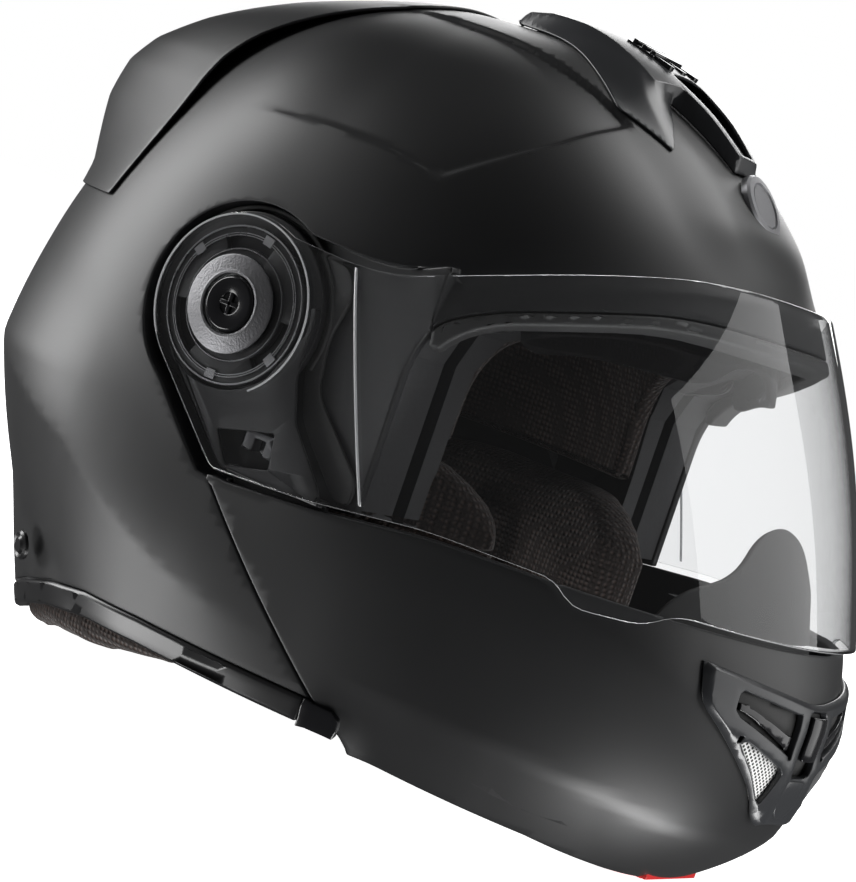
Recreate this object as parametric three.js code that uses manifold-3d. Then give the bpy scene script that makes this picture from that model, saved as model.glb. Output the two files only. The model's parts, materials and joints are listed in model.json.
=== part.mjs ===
// Modular motorcycle helmet: a shell with foam and lining, a flip-up chin bar, a clear visor,
// a drop-down sun visor, vents, a rear spoiler and a chin strap.
// Millimetres. +Z is up, the face looks along -Y, and the wearer's right side is at -X.
// The drawing's own zero is the chin bar's pivot axis for Y and the resting surface for Z.
import * as THREE from "three";
import { mergeVertices } from "three/addons/utils/BufferGeometryUtils.js";
import Module from "manifold-3d";

const wasm = await Module();
wasm.setup();

// ---------------------------------------------------------------- driving dimensions
const HEIGHT = 254; // top of the shell
const HALF_WIDTH = 123; // at the widest level
const WIDEST_Z = 118;
const TUCK = 0.12; // how far the sides draw in towards the bottom, as a share of the width
const BROW = 153; // front of the shell above the eyeport, from the pivot axis
const BROW_Z = 108;
const CHIN = 184; // front of the chin bar
const CHIN_Z = 64;
const RIDGE = 143; // back of the shell
const RIDGE_Z = 97;
const FOOT = 100; // back of the shell at the neck
const PIVOT_Z = 135;
const SHELL_WALL = 4;
const GAP = 0.4; // between pieces that touch
const SEGMENTS = 32; // facets round a full section
const REACH = 160; // half-length of a cutter across the helmet

// Side layers, as distances from the middle plane
const RECESS_FLOOR = { inner: 106.6, outer: 110 };
const ARM = { inner: 112.2, outer: 115.2, hub: 31, stepInner: 116, stepOuter: 118.4 };
const GEAR_PLATE = { inner: 115.6, outer: 118.2, radius: 26 };
const VISOR_SIDE = { inner: 118.8, outer: 121 };
const LOCK_RING = { inner: 121.4, outer: 122.6, radius: 16 };
const SCREW = { head: 9, shaft: 5.5, top: 122.8, seat: 118.7 };

const HEAD = { half: 80, front: 108, rear: 98, top: 228, middle: 118 };
const LENS = { radius: 128, thickness: 2, halfLength: 112, low: 12, high: 40 };
const LENS_ARM = { inner: 80.8, outer: 83.6, hub: 9 };
const LENS_TRAVEL = 24; // degrees
const VISOR = { wall: 2, proud: 3.4, bottom: 182, top: 132, bulge: 4, zBottom: 90, zTop: 195 };

// ---------------------------------------------------------------- finishes
const finish = (color, roughness, metalness = 0, opacity = 1) =>
  new THREE.MeshStandardMaterial({ color, roughness, metalness, opacity, transparent: opacity < 1 });
const matteShell = finish(0x1b1b1c, 0.42);
const glossBlack = finish(0x0c0c0d, 0.12);
const satinBlack = finish(0x171718, 0.55);
const foam = finish(0x2b2b2c, 0.9);
const lining = finish(0x2a1e1a, 0.95);
const rubber = finish(0x121212, 0.75);
const clear = finish(0xdfe6e8, 0.05, 0, 0.25);
const smoke = finish(0x2c2f31, 0.08, 0, 0.6);
const steel = finish(0xb9bbbd, 0.3, 1);
const webbing = finish(0x151515, 0.9);
const red = finish(0xa8151a, 0.4);

// ---------------------------------------------------------------- joining and cutting
function toSolid(geometry) {
  const bare = geometry.index ? geometry.toNonIndexed() : geometry.clone();
  bare.deleteAttribute("normal");
  bare.deleteAttribute("uv");
  const merged = mergeVertices(bare, 1e-3);
  const mesh = new wasm.Mesh({
    numProp: 3,
    vertProperties: merged.getAttribute("position").array,
    triVerts: new Uint32Array(merged.index.array),
  });
  return new wasm.Manifold(mesh);
}

function toGeometry(solid) {
  const mesh = solid.getMesh();
  const geometry = new THREE.BufferGeometry();
  geometry.setAttribute("position", new THREE.BufferAttribute(mesh.vertProperties, 3));
  geometry.setIndex(new THREE.BufferAttribute(mesh.triVerts, 1));
  geometry.computeVertexNormals();
  return geometry;
}

const helmet = new THREE.Group();
helmet.name = "modular_helmet";

function add(name, shape, material) {
  const geometry = shape.isBufferGeometry ? shape : toGeometry(shape);
  const mesh = new THREE.Mesh(geometry, material);
  mesh.name = name;
  helmet.add(mesh);
}

// A pair of pieces: the near one is on the wearer's right, at -X.
function addPair(name, shapeOnLeft, material) {
  const left = shapeOnLeft.isBufferGeometry ? toSolid(shapeOnLeft) : shapeOnLeft;
  add(`${name}_left`, left, material);
  add(`${name}_right`, left.mirror([1, 0, 0]), material);
}

const both = (shapeOnLeft) => shapeOnLeft.add(shapeOnLeft.mirror([1, 0, 0]));

// ---------------------------------------------------------------- the shell's surface
const clamp = (v, low, high) => Math.min(high, Math.max(low, v));
const smooth = (t) => clamp(t, 0, 1) ** 2 * (3 - 2 * clamp(t, 0, 1));
const arch = (share, power, root) => clamp(1 - clamp(share, 0, 1) ** power, 0, 1) ** (1 / root);

function halfWidthAt(z) {
  if (z > WIDEST_Z) return HALF_WIDTH * arch((z - WIDEST_Z) / (HEIGHT - WIDEST_Z), 2.2, 2.2);
  return HALF_WIDTH * (1 - TUCK * ((WIDEST_Z - z) / WIDEST_Z) ** 2);
}

function frontAt(z) {
  const brow = BROW * arch((z - BROW_Z) / (HEIGHT - BROW_Z), 2.1, 2.1);
  const chin = CHIN - 19 * clamp((CHIN_Z - z) / CHIN_Z, 0, 1.2) ** 2.4
    - 6 * clamp((z - CHIN_Z) / 35, 0, 1) ** 2;
  return chin + (brow - chin) * smooth((z - 96) / 10);
}

function rearAt(z) {
  if (z < RIDGE_Z) return FOOT + (RIDGE - FOOT) * clamp(z / RIDGE_Z, 0, 1) ** 0.9;
  const reach = RIDGE - 0.12 * (z - RIDGE_Z);
  return reach * arch((z - RIDGE_Z) / (HEIGHT - RIDGE_Z), 2.2, 2.2);
}

// The visor leans straighter than the brow does, from the chin bar's top to above the eyeport.
function visorFrontAt(z) {
  const share = (z - VISOR.zBottom) / (VISOR.zTop - VISOR.zBottom);
  const bulge = VISOR.bulge * Math.sin(Math.PI * clamp(share, 0, 1));
  return VISOR.bottom + (VISOR.top - VISOR.bottom) * share + bulge;
}

// The spoiler stands off the back of the shell and fades into the crown.
function spoilerRearAt(z) {
  return rearAt(z) + 22 * smooth((z - 150) / 22) * (1 - smooth((z - 224) / 26));
}

const shellSection = (z) => ({ half: halfWidthAt(z), front: frontAt(z), rear: rearAt(z) });
const visorSection = (z) => ({
  half: halfWidthAt(z) + VISOR.proud, front: visorFrontAt(z), rear: rearAt(z) });
const spoilerSection = (z) => ({
  half: halfWidthAt(z) + 6, front: frontAt(z), rear: spoilerRearAt(z) });

// A closed body through oval sections at the given levels, from a sphere whose rows are moved.
function loft(levels, sectionAt, inset = 0, poleZ = levels[0]) {
  const rows = levels.length + 1;
  const geometry = new THREE.SphereGeometry(1, SEGMENTS, rows);
  const points = geometry.getAttribute("position");
  for (let i = 0; i < points.count; i++) {
    const polar = Math.acos(clamp(points.getY(i), -1, 1));
    const row = Math.round((polar / Math.PI) * rows);
    const level = levels[clamp(row - 1, 0, levels.length - 1)];
    if (row === 0 || row === rows) {
      points.setXYZ(i, 0, 0, row === 0 ? poleZ : level);
      continue;
    }
    const angle = Math.atan2(-points.getZ(i), points.getX(i));
    const across = Math.cos(angle);
    const along = Math.sin(angle);
    const { half, front, rear } = sectionAt(level);
    points.setXYZ(
      i,
      Math.sign(across) * Math.abs(across) ** (2 / 2.2) * half,
      Math.sign(along) * Math.abs(along) ** (2 / 2.1) * (along < 0 ? front : rear),
      level,
    );
  }
  geometry.scale(1 - inset / HALF_WIDTH, 1 - inset / BROW, 1 - inset / HEIGHT);
  return toSolid(geometry);
}

function levelsBetween(top, bottom, count, power = 1) {
  const span = (i) => ((i + 1) / count) ** power;
  return Array.from({ length: count }, (_, i) => top - (top - bottom) * span(i));
}

const BASE = -40;
const shellLevels = [
  ...levelsBetween(HEIGHT, 118, 7, 1.7),
  ...[106, 97, 80, 62, 42, 22, 4, BASE],
];
const shellBody = (inset) => loft(shellLevels, shellSection, inset, HEIGHT);
const visorBody = (inset) => loft(levelsBetween(232, 70, 8), visorSection, inset);
const spoilerBody = (inset) =>
  loft([...levelsBetween(HEIGHT, 160, 9, 1.5), 140], spoilerSection, inset, HEIGHT);

// The room for the head: a dome on straight walls.
function headBody(inset) {
  const { half, front, rear, top, middle } = HEAD;
  const section = (z) => {
    const k = z > middle ? Math.sqrt(clamp(1 - ((z - middle) / (top - middle)) ** 2, 0, 1)) : 1;
    return { half: half * k, front: front * k, rear: rear * k };
  };
  const levels = [...levelsBetween(top, middle, 7, 1.6), 60, 20, BASE];
  const body = loft(levels, section, 0, top);
  return body.scale([1 - inset / half, 1 - inset / 103, 1 - inset / top]);
}

// ---------------------------------------------------------------- cutters
function outline(points) {
  return new THREE.Shape(points.map(([a, b]) => new THREE.Vector2(a, b)));
}

function extrude(shape, from, to, toWorld) {
  const geometry = new THREE.ExtrudeGeometry(shape, {
    depth: to - from, bevelEnabled: false, curveSegments: 8 });
  geometry.translate(0, 0, from);
  geometry.applyMatrix4(new THREE.Matrix4().set(...toWorld, 0, 0, 0, 1));
  return toSolid(geometry);
}

// Side view: the outline is drawn in (y, z) and runs along X.
const fromSide = (shape, from = -REACH, to = REACH) =>
  extrude(shape, from, to, [0, 0, 1, 0, 1, 0, 0, 0, 0, 1, 0, 0]);
// Front view: drawn in (x, z), from y = -from back to y = -to.
const fromFront = (shape, from = 60, to = 240) =>
  extrude(shape, from, to, [1, 0, 0, 0, 0, 0, -1, 0, 0, 1, 0, 0]);
// Top view: drawn in (x, y).
const fromTop = (shape, from, to) => extrude(shape, from, to, [1, 0, 0, 0, 0, 1, 0, 0, 0, 0, 1, 0]);

function box(x0, x1, y0, y1, z0, z1) {
  const geometry = new THREE.BoxGeometry(x1 - x0, y1 - y0, z1 - z0);
  geometry.translate((x0 + x1) / 2, (y0 + y1) / 2, (z0 + z1) / 2);
  return toSolid(geometry);
}

// A round bar along X on the pivot axis, or on another point of the side view.
function bar(radius, from, to, y = 0, z = PIVOT_Z, sides = 24) {
  const geometry = new THREE.CylinderGeometry(radius, radius, to - from, sides);
  geometry.rotateZ(Math.PI / 2);
  geometry.translate((from + to) / 2, y, z);
  return toSolid(geometry);
}

// ---------------------------------------------------------------- parting lines in side view
// The chin bar meets the shell along a slanting seam and carries the visor on a level edge.
const chinEdge = (gap) => outline([
  [-12 - gap, 82 - gap], [-46 - gap, 84 - gap], [-90, 89 - gap], [-240, 89 - gap], [-240, BASE],
  [-80 - gap, BASE], [-79 - gap, 16], [-60 - gap, 33],
]);
// The window for the eyes.
const eyeport = (gap) => outline([
  [-62 - gap, 70], [-62 - gap, 138 - gap], [-66 - gap, 150 - gap], [-80, 160 - gap],
  [-104, 170 - gap], [-124, 179 - gap], [-240, 182 - gap], [-240, 70],
]);
// The visor seen from the side: a round end on the pivot, a corner behind the chin bar's
// top, a level bottom and a rising top edge. grow moves the whole outline outwards.
function visorOutline(grow) {
  const radius = 30 + grow;
  const corner = new THREE.Vector2(-12 + grow, 84 - grow);
  const arm = corner.clone().sub(new THREE.Vector2(0, PIVOT_Z));
  const tangent = Math.atan2(arm.y, arm.x) + Math.acos(radius / arm.length());
  const shape = new THREE.Shape();
  shape.moveTo(corner.x, corner.y);
  shape.lineTo(radius * Math.cos(tangent), PIVOT_Z + radius * Math.sin(tangent));
  shape.absarc(0, PIVOT_Z, radius, tangent, Math.PI / 2 + 0.5, false);
  shape.lineTo(-39, 160 + grow);
  shape.lineTo(-52, 161.5 + grow);
  shape.lineTo(-77, 171 + grow);
  shape.lineTo(-104, 183 + grow);
  shape.lineTo(-126, 193 + grow);
  shape.lineTo(-220, 197 + grow);
  shape.lineTo(-220, 90.5 - grow);
  shape.lineTo(-90, 90.5 - grow);
  shape.lineTo(-46, 85.5 - grow);
  return shape;
}
const recess = (grow) => fromSide(visorOutline(3 + grow))
  .intersect(box(-REACH, REACH, -66, 60, 60, 200))
  .add(bar(34 + grow, -REACH, REACH, 0, PIVOT_Z, 48));
// The rim at the neck rises from the back towards the sides.
const RIM = [[120, 1], [100, 2.5], [84, 6], [66, 12.5], [46, 18], [26, 20.5], [0, 20.5], [-79, 17.5]];
const TRIM_HEIGHT = 8.5;
const rimBand = (low, high, frontEnd = -80) => outline([
  ...RIM.filter(([y]) => y > frontEnd).map(([y, z]) => [y, z + low]),
  [frontEnd, 17.5 + low], [frontEnd, 17.5 + high],
  ...RIM.filter(([y]) => y > frontEnd).map(([y, z]) => [y, z + high]).reverse(),
]);
const aboveRim = (lift) => outline([
  [-240, 17.5 + lift], ...RIM.map(([y, z]) => [y, z + lift]).reverse(), [220, 1 + lift],
  [220, 300], [-240, 300],
]);

// ---------------------------------------------------------------- shell and foam
const outside = shellBody(0);
const sidesOnly = (inner, outer) => both(box(inner, outer, -90, 90, 40, 220));
const chinCut = fromSide(chinEdge(0));
const eyeportCut = fromSide(eyeport(0));

function makeShell() {
  const wall = outside.subtract(shellBody(SHELL_WALL));
  const floor = recess(3.4).intersect(sidesOnly(RECESS_FLOOR.inner, RECESS_FLOOR.outer));
  const rim = recess(3.4).subtract(recess(0)).intersect(sidesOnly(RECESS_FLOOR.inner, REACH));
  const hollowed = wall.subtract(recess(0).intersect(sidesOnly(RECESS_FLOOR.outer, REACH)));
  return hollowed
    .add(floor.add(rim).intersect(outside))
    .subtract(chinCut)
    .subtract(eyeportCut)
    .intersect(fromSide(aboveRim(TRIM_HEIGHT + GAP)));
}
add("outer_shell", makeShell(), matteShell);

// The sun visor is a slice of a barrel turned about the pivot axis.
function barrel(radius) {
  const points = [];
  const steps = 12;
  for (let i = 0; i <= steps; i++) {
    const x = -LENS.halfLength + (2 * LENS.halfLength * i) / steps;
    const r = radius * Math.sqrt(clamp(1 - (x / (LENS.halfLength + 0.5)) ** 2, 0, 1));
    points.push(new THREE.Vector2(i === 0 || i === steps ? 0 : r, x));
  }
  const geometry = new THREE.LatheGeometry(points, 48);
  geometry.rotateZ(-Math.PI / 2);
  geometry.translate(0, 0, PIVOT_Z);
  return toSolid(geometry);
}

// A wedge of the side view between two angles above straight ahead, in degrees.
function wedge(low, high, reach = 200) {
  const steps = 4;
  const points = [[0, PIVOT_Z]];
  for (let i = 0; i <= steps; i++) {
    const angle = THREE.MathUtils.degToRad(low + ((high - low) * i) / steps);
    points.push([-reach * Math.cos(angle), PIVOT_Z + reach * Math.sin(angle)]);
  }
  return fromSide(outline(points.reverse()));
}

const lensRoom = (() => {
  const sweep = wedge(LENS.low - LENS_TRAVEL - 4, LENS.high + 4);
  const slot = barrel(LENS.radius + 24).subtract(barrel(LENS.radius - LENS.thickness - 2))
    .intersect(box(-92, 92, -200, -30, 90, 240));
  const side = [LENS_ARM.inner - 2.5, LENS_ARM.outer + 2.5];
  const arms = both(box(...side, -98, 0, 60, 215)).intersect(barrel(LENS.radius + 2))
    .intersect(wedge(-48, 84));
  const hub = both(bar(LENS_ARM.hub + 3, ...side));
  return slot.intersect(sweep).add(arms).add(hub);
})();

const foamSides = recess(4.2).intersect(sidesOnly(RECESS_FLOOR.inner - GAP, REACH));
add("eps_liner", shellBody(SHELL_WALL + 0.5)
  .subtract(headBody(0))
  .subtract(foamSides)
  .subtract(fromSide(chinEdge(-2)))
  .subtract(fromSide(eyeport(-1)))
  .subtract(lensRoom)
  .intersect(fromSide(aboveRim(4.5))), foam);

add("crown_liner", headBody(0.5).subtract(headBody(8))
  .subtract(fromSide(eyeport(-1)))
  .intersect(box(-REACH, REACH, -REACH, REACH, 114, 300)), lining);

const PAD_FRONT_X = 37; // the pads leave the mouth and nose free
const padOutline = outline([
  [-84, 52], [-70, 30], [-40, 25.6], [20, 26], [34, 34], [40, 70], [34, 104], [0, 110], [-62, 110],
  [-84, 96],
]);
addPair("cheek_pad", headBody(0.5).subtract(headBody(27)).intersect(fromSide(padOutline, PAD_FRONT_X, REACH)),
  lining);

add("neck_roll", shellBody(6.5).subtract(headBody(12))
  .intersect(fromSide(rimBand(-10, 3.9, -22)))
  .intersect(box(-REACH, REACH, -22, REACH, 0, 60)), lining);

// ---------------------------------------------------------------- trims and seals
add("bottom_trim", shellBody(-0.6).subtract(shellBody(SHELL_WALL + 0.1))
  .intersect(fromSide(rimBand(0, TRIM_HEIGHT, -64))), satinBlack);
const trimEnd = [[-64.5, 17.6], [-64.5, 26.3], [-78, 25.6], [-78, 17.2]];
addPair("trim_end", shellBody(-1.2).subtract(shellBody(SHELL_WALL + 0.1))
  .intersect(fromSide(outline(trimEnd), 4, REACH))
  .subtract(fromSide(chinEdge(-0.6))), glossBlack);
add("eyeport_gasket", shellBody(0.6).subtract(shellBody(10))
  .intersect(fromSide(eyeport(GAP)))
  .subtract(fromSide(eyeport(5)))
  .subtract(both(box(RECESS_FLOOR.outer + GAP, REACH, -70, 60, 60, 200)))
  .intersect(box(-REACH, REACH, -REACH, 0, 92, 220)), rubber);

// ---------------------------------------------------------------- sun visor and its lever
const lensPlan = outline([
  [-84, 150], [-70, 156], [-26, 159], [-12, 168], [12, 168], [26, 159], [70, 156], [84, 150],
  [84, 176], [64, 200], [30, 213], [-30, 213], [-64, 200], [-84, 176],
]);
const lens = barrel(LENS.radius).subtract(barrel(LENS.radius - LENS.thickness))
  .intersect(fromFront(lensPlan, 24, 200));
const lensArm = fromSide(outline([[6, 127], [6, 143], [-68, 176], [-84, 168], [-84, 154]]),
  LENS_ARM.inner, LENS_ARM.outer).intersect(barrel(LENS.radius - 0.2))
  .add(bar(LENS_ARM.hub, LENS_ARM.inner, LENS_ARM.outer));
add("sun_visor", lens.add(both(lensArm)), smoke);
add("sun_visor_lever", box(100, 105, -56, -48, 12, 17)
  .add(box(96, 110, -58, -46, 8.5, 12.5)), satinBlack);

// ---------------------------------------------------------------- visor and pivots
const visorSkin = visorBody(0).intersect(box(-VISOR_SIDE.outer, VISOR_SIDE.outer, -240, 60, 60, 240))
  .subtract(visorBody(VISOR.wall)
    .intersect(box(-VISOR_SIDE.inner, VISOR_SIDE.inner, -240, 61, 59, 241)))
  .intersect(fromSide(visorOutline(0)));
const liftTab = fromFront(outline([[-72, 81], [-98, 87], [-98, 92.5], [-66, 92.5]]), 60, 200)
  .intersect(visorBody(-2)).subtract(visorBody(0.4)).intersect(box(-110, -60, -240, -100, 80, 93));
add("visor", visorSkin.add(both(liftTab)).subtract(both(bar(SCREW.head + 0.6, 100, REACH))), clear);

const ring = (outer, inner, from, to) => bar(outer, from, to).subtract(bar(inner, from - 1, to + 1));
addPair("visor_gear_plate", ring(GEAR_PLATE.radius, SCREW.shaft + 0.4, GEAR_PLATE.inner,
  GEAR_PLATE.outer), satinBlack);
addPair("visor_lock_ring", ring(LOCK_RING.radius, SCREW.head + 0.6, LOCK_RING.inner,
  LOCK_RING.outer), steel);
addPair("pivot_screw", bar(SCREW.head, SCREW.seat, SCREW.top)
  .add(bar(SCREW.shaft, RECESS_FLOOR.outer + GAP, SCREW.seat + 0.5)), glossBlack);

// ---------------------------------------------------------------- chin bar
const BOTTOM_EDGE = outline([[-60, 15], [-78, 13.5], [-130, 7], [-158, 0], [-240, 0],
  [-240, 120], [-10, 120], [-10, 70]]);
add("chin_bar_shell", outside.subtract(shellBody(SHELL_WALL))
  .intersect(fromSide(chinEdge(0.6))).intersect(fromSide(BOTTOM_EDGE)), matteShell);
const padEdge = outline([[-76, 79.5], [-84, 26], [-130, 16], [-166, 14], [-240, 14], [-240, 79.5]]);
add("chin_bar_liner", shellBody(SHELL_WALL + 0.5).subtract(shellBody(14))
  .intersect(fromSide(padEdge)), foam);

// The arm is flat round the pivot, steps outwards past the recess so that it clears the shell
// when it is up, and steps in again to sit inside the chin bar's wall.
function makeArm() {
  const face = outline([[-15.5, 84.8], [-54, 84.8], [-51, 100], [-40, 128], [-24, 152], [24, 120]]);
  const foot = outline([[-21, 76], [-15.5, 87.4], [-54, 87.4], [-54, 60], [-37, 60]]);
  const hubDisc = bar(ARM.hub, ARM.inner, ARM.outer, 0, PIVOT_Z, 36);
  const clearOfHub = bar(ARM.hub - 2.4, ARM.inner - 1, ARM.stepOuter + 1, 0, PIVOT_Z, 36);
  const skirt = bar(ARM.hub, ARM.inner, ARM.stepOuter, 0, PIVOT_Z, 36)
    .intersect(fromSide(face)).subtract(clearOfHub);
  const plate = fromSide(face, ARM.stepInner, ARM.stepOuter).subtract(clearOfHub);
  const shelf = fromSide(outline([[-16.5, 84.8], [-54, 84.8], [-54, 87.4], [-16.5, 87.4]]),
    ARM.inner, ARM.stepOuter);
  const lug = fromSide(foot, ARM.inner, ARM.outer).intersect(shellBody(SHELL_WALL + 0.5));
  return hubDisc.add(skirt).add(plate).add(shelf).add(lug).intersect(visorBody(VISOR.wall + 0.4));
}
const latchWindow = [[-18, 93], [-33, 92], [-32, 101], [-18, 101]];
addPair("chin_bar_arm", makeArm()
  .subtract(bar(SCREW.shaft + 0.4, 100, REACH))
  .subtract(fromSide(outline(latchWindow))), satinBlack);
addPair("latch_hook", fromSide(outline([[-19, 93.4], [-23.5, 93.4], [-23.5, 98], [-27, 98],
  [-27, 92.8], [-31.5, 92.8], [-31, 100.4], [-19, 100.4]]), ARM.inner + 0.3, ARM.stepOuter - 1), steel);
addPair("latch_pin", bar(3, RECESS_FLOOR.outer + 0.3, ARM.inner - 0.4, -25, 96, 20), steel);

// ---------------------------------------------------------------- chin vent, breath guard, release
const frameOutline = outline([[-57, 80], [-55, 87], [55, 87], [57, 80], [54, 66], [26, 42], [14, 31],
  [-14, 31], [-26, 42], [-54, 66]]);
const meshWindow = (grow) => outline([
  [14 - grow, 54 + grow], [42 + 2 * grow, 59 + grow], [15 - grow, 37 - 2 * grow]]);
const sliderWindow = (grow) => outline([
  [-9 - grow, 36 - grow], [9 + grow, 36 - grow], [9 + grow, 74 + grow], [-9 - grow, 74 + grow]]);
add("chin_vent_frame", shellBody(-3.2).subtract(shellBody(-0.4))
  .intersect(fromFront(frameOutline))
  .subtract(both(fromFront(meshWindow(0.4))))
  .subtract(fromFront(sliderWindow(0.4))), glossBlack);
addPair("chin_vent_mesh", shellBody(-1.8).subtract(shellBody(-0.4))
  .intersect(fromFront(meshWindow(0))), steel);
add("chin_vent_slider", shellBody(-5.2).subtract(shellBody(-0.4))
  .intersect(fromFront(outline([[-8.4, 42], [8.4, 42], [8.4, 68], [-8.4, 68]]))), glossBlack);

const hill = new THREE.Shape();
hill.moveTo(-62, 80);
hill.lineTo(62, 80);
hill.splineThru([[52, 96], [30, 106], [18, 119], [0, 124], [-18, 119], [-30, 106], [-52, 96],
  [-62, 80]].map(([x, z]) => new THREE.Vector2(x, z)));
add("breath_guard", visorBody(15.5).subtract(visorBody(18)).intersect(fromFront(hill)), rubber);

add("release_housing", box(-28, 28, -156, -138, 10.8, 13.4), satinBlack);
add("release_button", box(-19, 19, -156, -142, 0.8, 7.6), red);

// ---------------------------------------------------------------- top vent
const ventOutline = outline([[0, -14], [10, -30], [40, -58], [44, -66], [26, -68], [36, -86],
  [13, -78], [9, -96], [-9, -96], [-13, -78], [-36, -86], [-26, -68], [-44, -66], [-40, -58],
  [-10, -30]]);
const intake = (grow) => fromTop(outline([[-8 - grow, -66 + grow], [-5 - grow, -97 - grow],
  [5 + grow, -97 - grow], [8 + grow, -66 + grow]]), 190, 300);
add("top_vent_cover", shellBody(-4.5).subtract(shellBody(-0.4))
  .intersect(fromTop(ventOutline, 190, 300)).subtract(intake(GAP)), glossBlack);
const ventSlope = THREE.MathUtils.degToRad(16);
const sliderGeometry = new THREE.BoxGeometry(30, 13, 3.4);
sliderGeometry.rotateX(ventSlope);
sliderGeometry.translate(0, -50, 255.4);
add("top_vent_slider", sliderGeometry, glossBlack);
add("top_vent_grille", shellBody(-1.6).subtract(shellBody(-0.4)).intersect(intake(0)), satinBlack);

// ---------------------------------------------------------------- rear spoiler, badge, snaps
add("rear_spoiler", spoilerBody(-2.5).subtract(shellBody(-0.5))
  .intersect(fromTop(outline([[-30, 22], [-72, 96], [-72, 180], [72, 180], [72, 96], [30, 22]]),
    168, 300)), matteShell);

// A round disc that lies on the shell at a point, facing along the surface's own normal.
function discAt(point, normal, radius, thickness, lift) {
  const geometry = new THREE.CylinderGeometry(radius, radius, thickness, 24);
  const up = new THREE.Vector3(0, 1, 0);
  const facing = new THREE.Vector3(...normal).normalize();
  geometry.applyQuaternion(new THREE.Quaternion().setFromUnitVectors(up, facing));
  const place = new THREE.Vector3(...point).addScaledVector(facing, lift + thickness / 2);
  geometry.translate(place.x, place.y, place.z);
  return geometry;
}

function surfaceX(y, z) {
  const share = Math.abs(y) / (y < 0 ? frontAt(z) : rearAt(z));
  return halfWidthAt(z) * arch(share, 2.1, 2.2);
}

function sideNormal(y, z) {
  const step = 0.5;
  const dy = (surfaceX(y + step, z) - surfaceX(y - step, z)) / (2 * step);
  const dz = (surfaceX(y, z + step) - surfaceX(y, z - step)) / (2 * step);
  return [1, -dy, -dz];
}
const BADGE_Z = 215;
const browSlope = (frontAt(BADGE_Z + 1) - frontAt(BADGE_Z - 1)) / 2;
add("emblem_badge", discAt([0, -frontAt(BADGE_Z), BADGE_Z], [0, -1, -browSlope], 11.5, 3, 0.5),
  satinBlack);
const SNAP = { y: 61, z: 34 };
addPair("rear_snap", discAt([surfaceX(SNAP.y, SNAP.z), SNAP.y, SNAP.z], sideNormal(SNAP.y, SNAP.z),
  5.5, 2.6, 0.5), steel);

// ---------------------------------------------------------------- chin strap
// Each strap comes out under its cheek pad and is tucked up along the pad's inner face.
const STRAP = { inner: 48.4, outer: 50.2, root: 66, low: 22.6, high: 80, front: -24, rear: 1 };
const strapProfile = outline([
  [STRAP.root, STRAP.low], [STRAP.root, STRAP.low + 1.8], [STRAP.outer, STRAP.low + 1.8],
  [STRAP.outer, STRAP.high], [STRAP.inner, STRAP.high], [STRAP.inner, STRAP.low]]);
addPair("chin_strap", fromFront(strapProfile, -STRAP.rear, -STRAP.front), webbing);
const ringOutside = outline([[-28, 64], [-28, 78], [-22, 84], [-1, 84], [5, 78], [5, 64]]);
const ringInside = outline([[-24.5, 67.5], [-24.5, 76], [-20.5, 80.5], [-2.5, 80.5], [1.5, 76],
  [1.5, 67.5]]);
[["buckle_ring_outer", 41.4], ["buckle_ring_inner", 44.8]].forEach(([name, x]) =>
  add(name, fromSide(ringOutside, x, x + 3).subtract(fromSide(ringInside, x - 1, x + 4)), steel));

helmet.updateMatrixWorld(true);
const size = new THREE.Box3().setFromObject(helmet);
helmet.position.y = -(size.min.y + size.max.y) / 2;
helmet.position.z = -size.min.z;

export default helmet;
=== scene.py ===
"""Modular motorcycle helmet: the visible pieces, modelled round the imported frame.

Shapes are drawn in millimetres, with Y measured from the chin bar's pivot axis, and are put
in the frame's metres when each piece is finished. The face looks along -Y, the wearer's
right side is at -X, and Z starts at the resting surface.
"""

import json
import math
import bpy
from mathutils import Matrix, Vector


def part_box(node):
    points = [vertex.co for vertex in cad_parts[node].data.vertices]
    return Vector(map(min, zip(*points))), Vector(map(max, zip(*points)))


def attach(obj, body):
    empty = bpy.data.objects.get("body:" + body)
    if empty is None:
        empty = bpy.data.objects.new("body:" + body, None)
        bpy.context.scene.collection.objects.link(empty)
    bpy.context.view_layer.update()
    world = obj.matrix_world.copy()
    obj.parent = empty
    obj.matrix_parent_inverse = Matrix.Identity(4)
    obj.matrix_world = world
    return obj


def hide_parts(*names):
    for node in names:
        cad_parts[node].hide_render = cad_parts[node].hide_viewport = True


bl_info = {
    "name": "Modular Motorcycle Helmet",
    "version": (1, 0, 0),
    "blender": (4, 5, 0),
    "location": "View3D > Sidebar > Helmet",
    "description": "Builds the shell, chin bar, visors, vents, lining and stage of a helmet",
    "category": "Object",
}

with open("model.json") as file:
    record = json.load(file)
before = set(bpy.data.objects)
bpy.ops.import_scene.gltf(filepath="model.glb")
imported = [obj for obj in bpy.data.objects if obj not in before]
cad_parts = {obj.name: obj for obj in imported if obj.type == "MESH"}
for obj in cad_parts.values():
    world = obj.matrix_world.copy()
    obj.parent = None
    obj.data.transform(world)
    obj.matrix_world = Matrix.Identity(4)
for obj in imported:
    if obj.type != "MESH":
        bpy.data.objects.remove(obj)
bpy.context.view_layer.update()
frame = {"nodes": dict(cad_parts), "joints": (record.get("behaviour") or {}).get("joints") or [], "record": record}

import bmesh
import bpy
import numpy as np
from mathutils import Matrix, Vector

PIVOT = Vector(next(j for j in frame["joints"] if j["name"] == "chin_bar_lift")["pos_m"])
MM = 0.001

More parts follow.
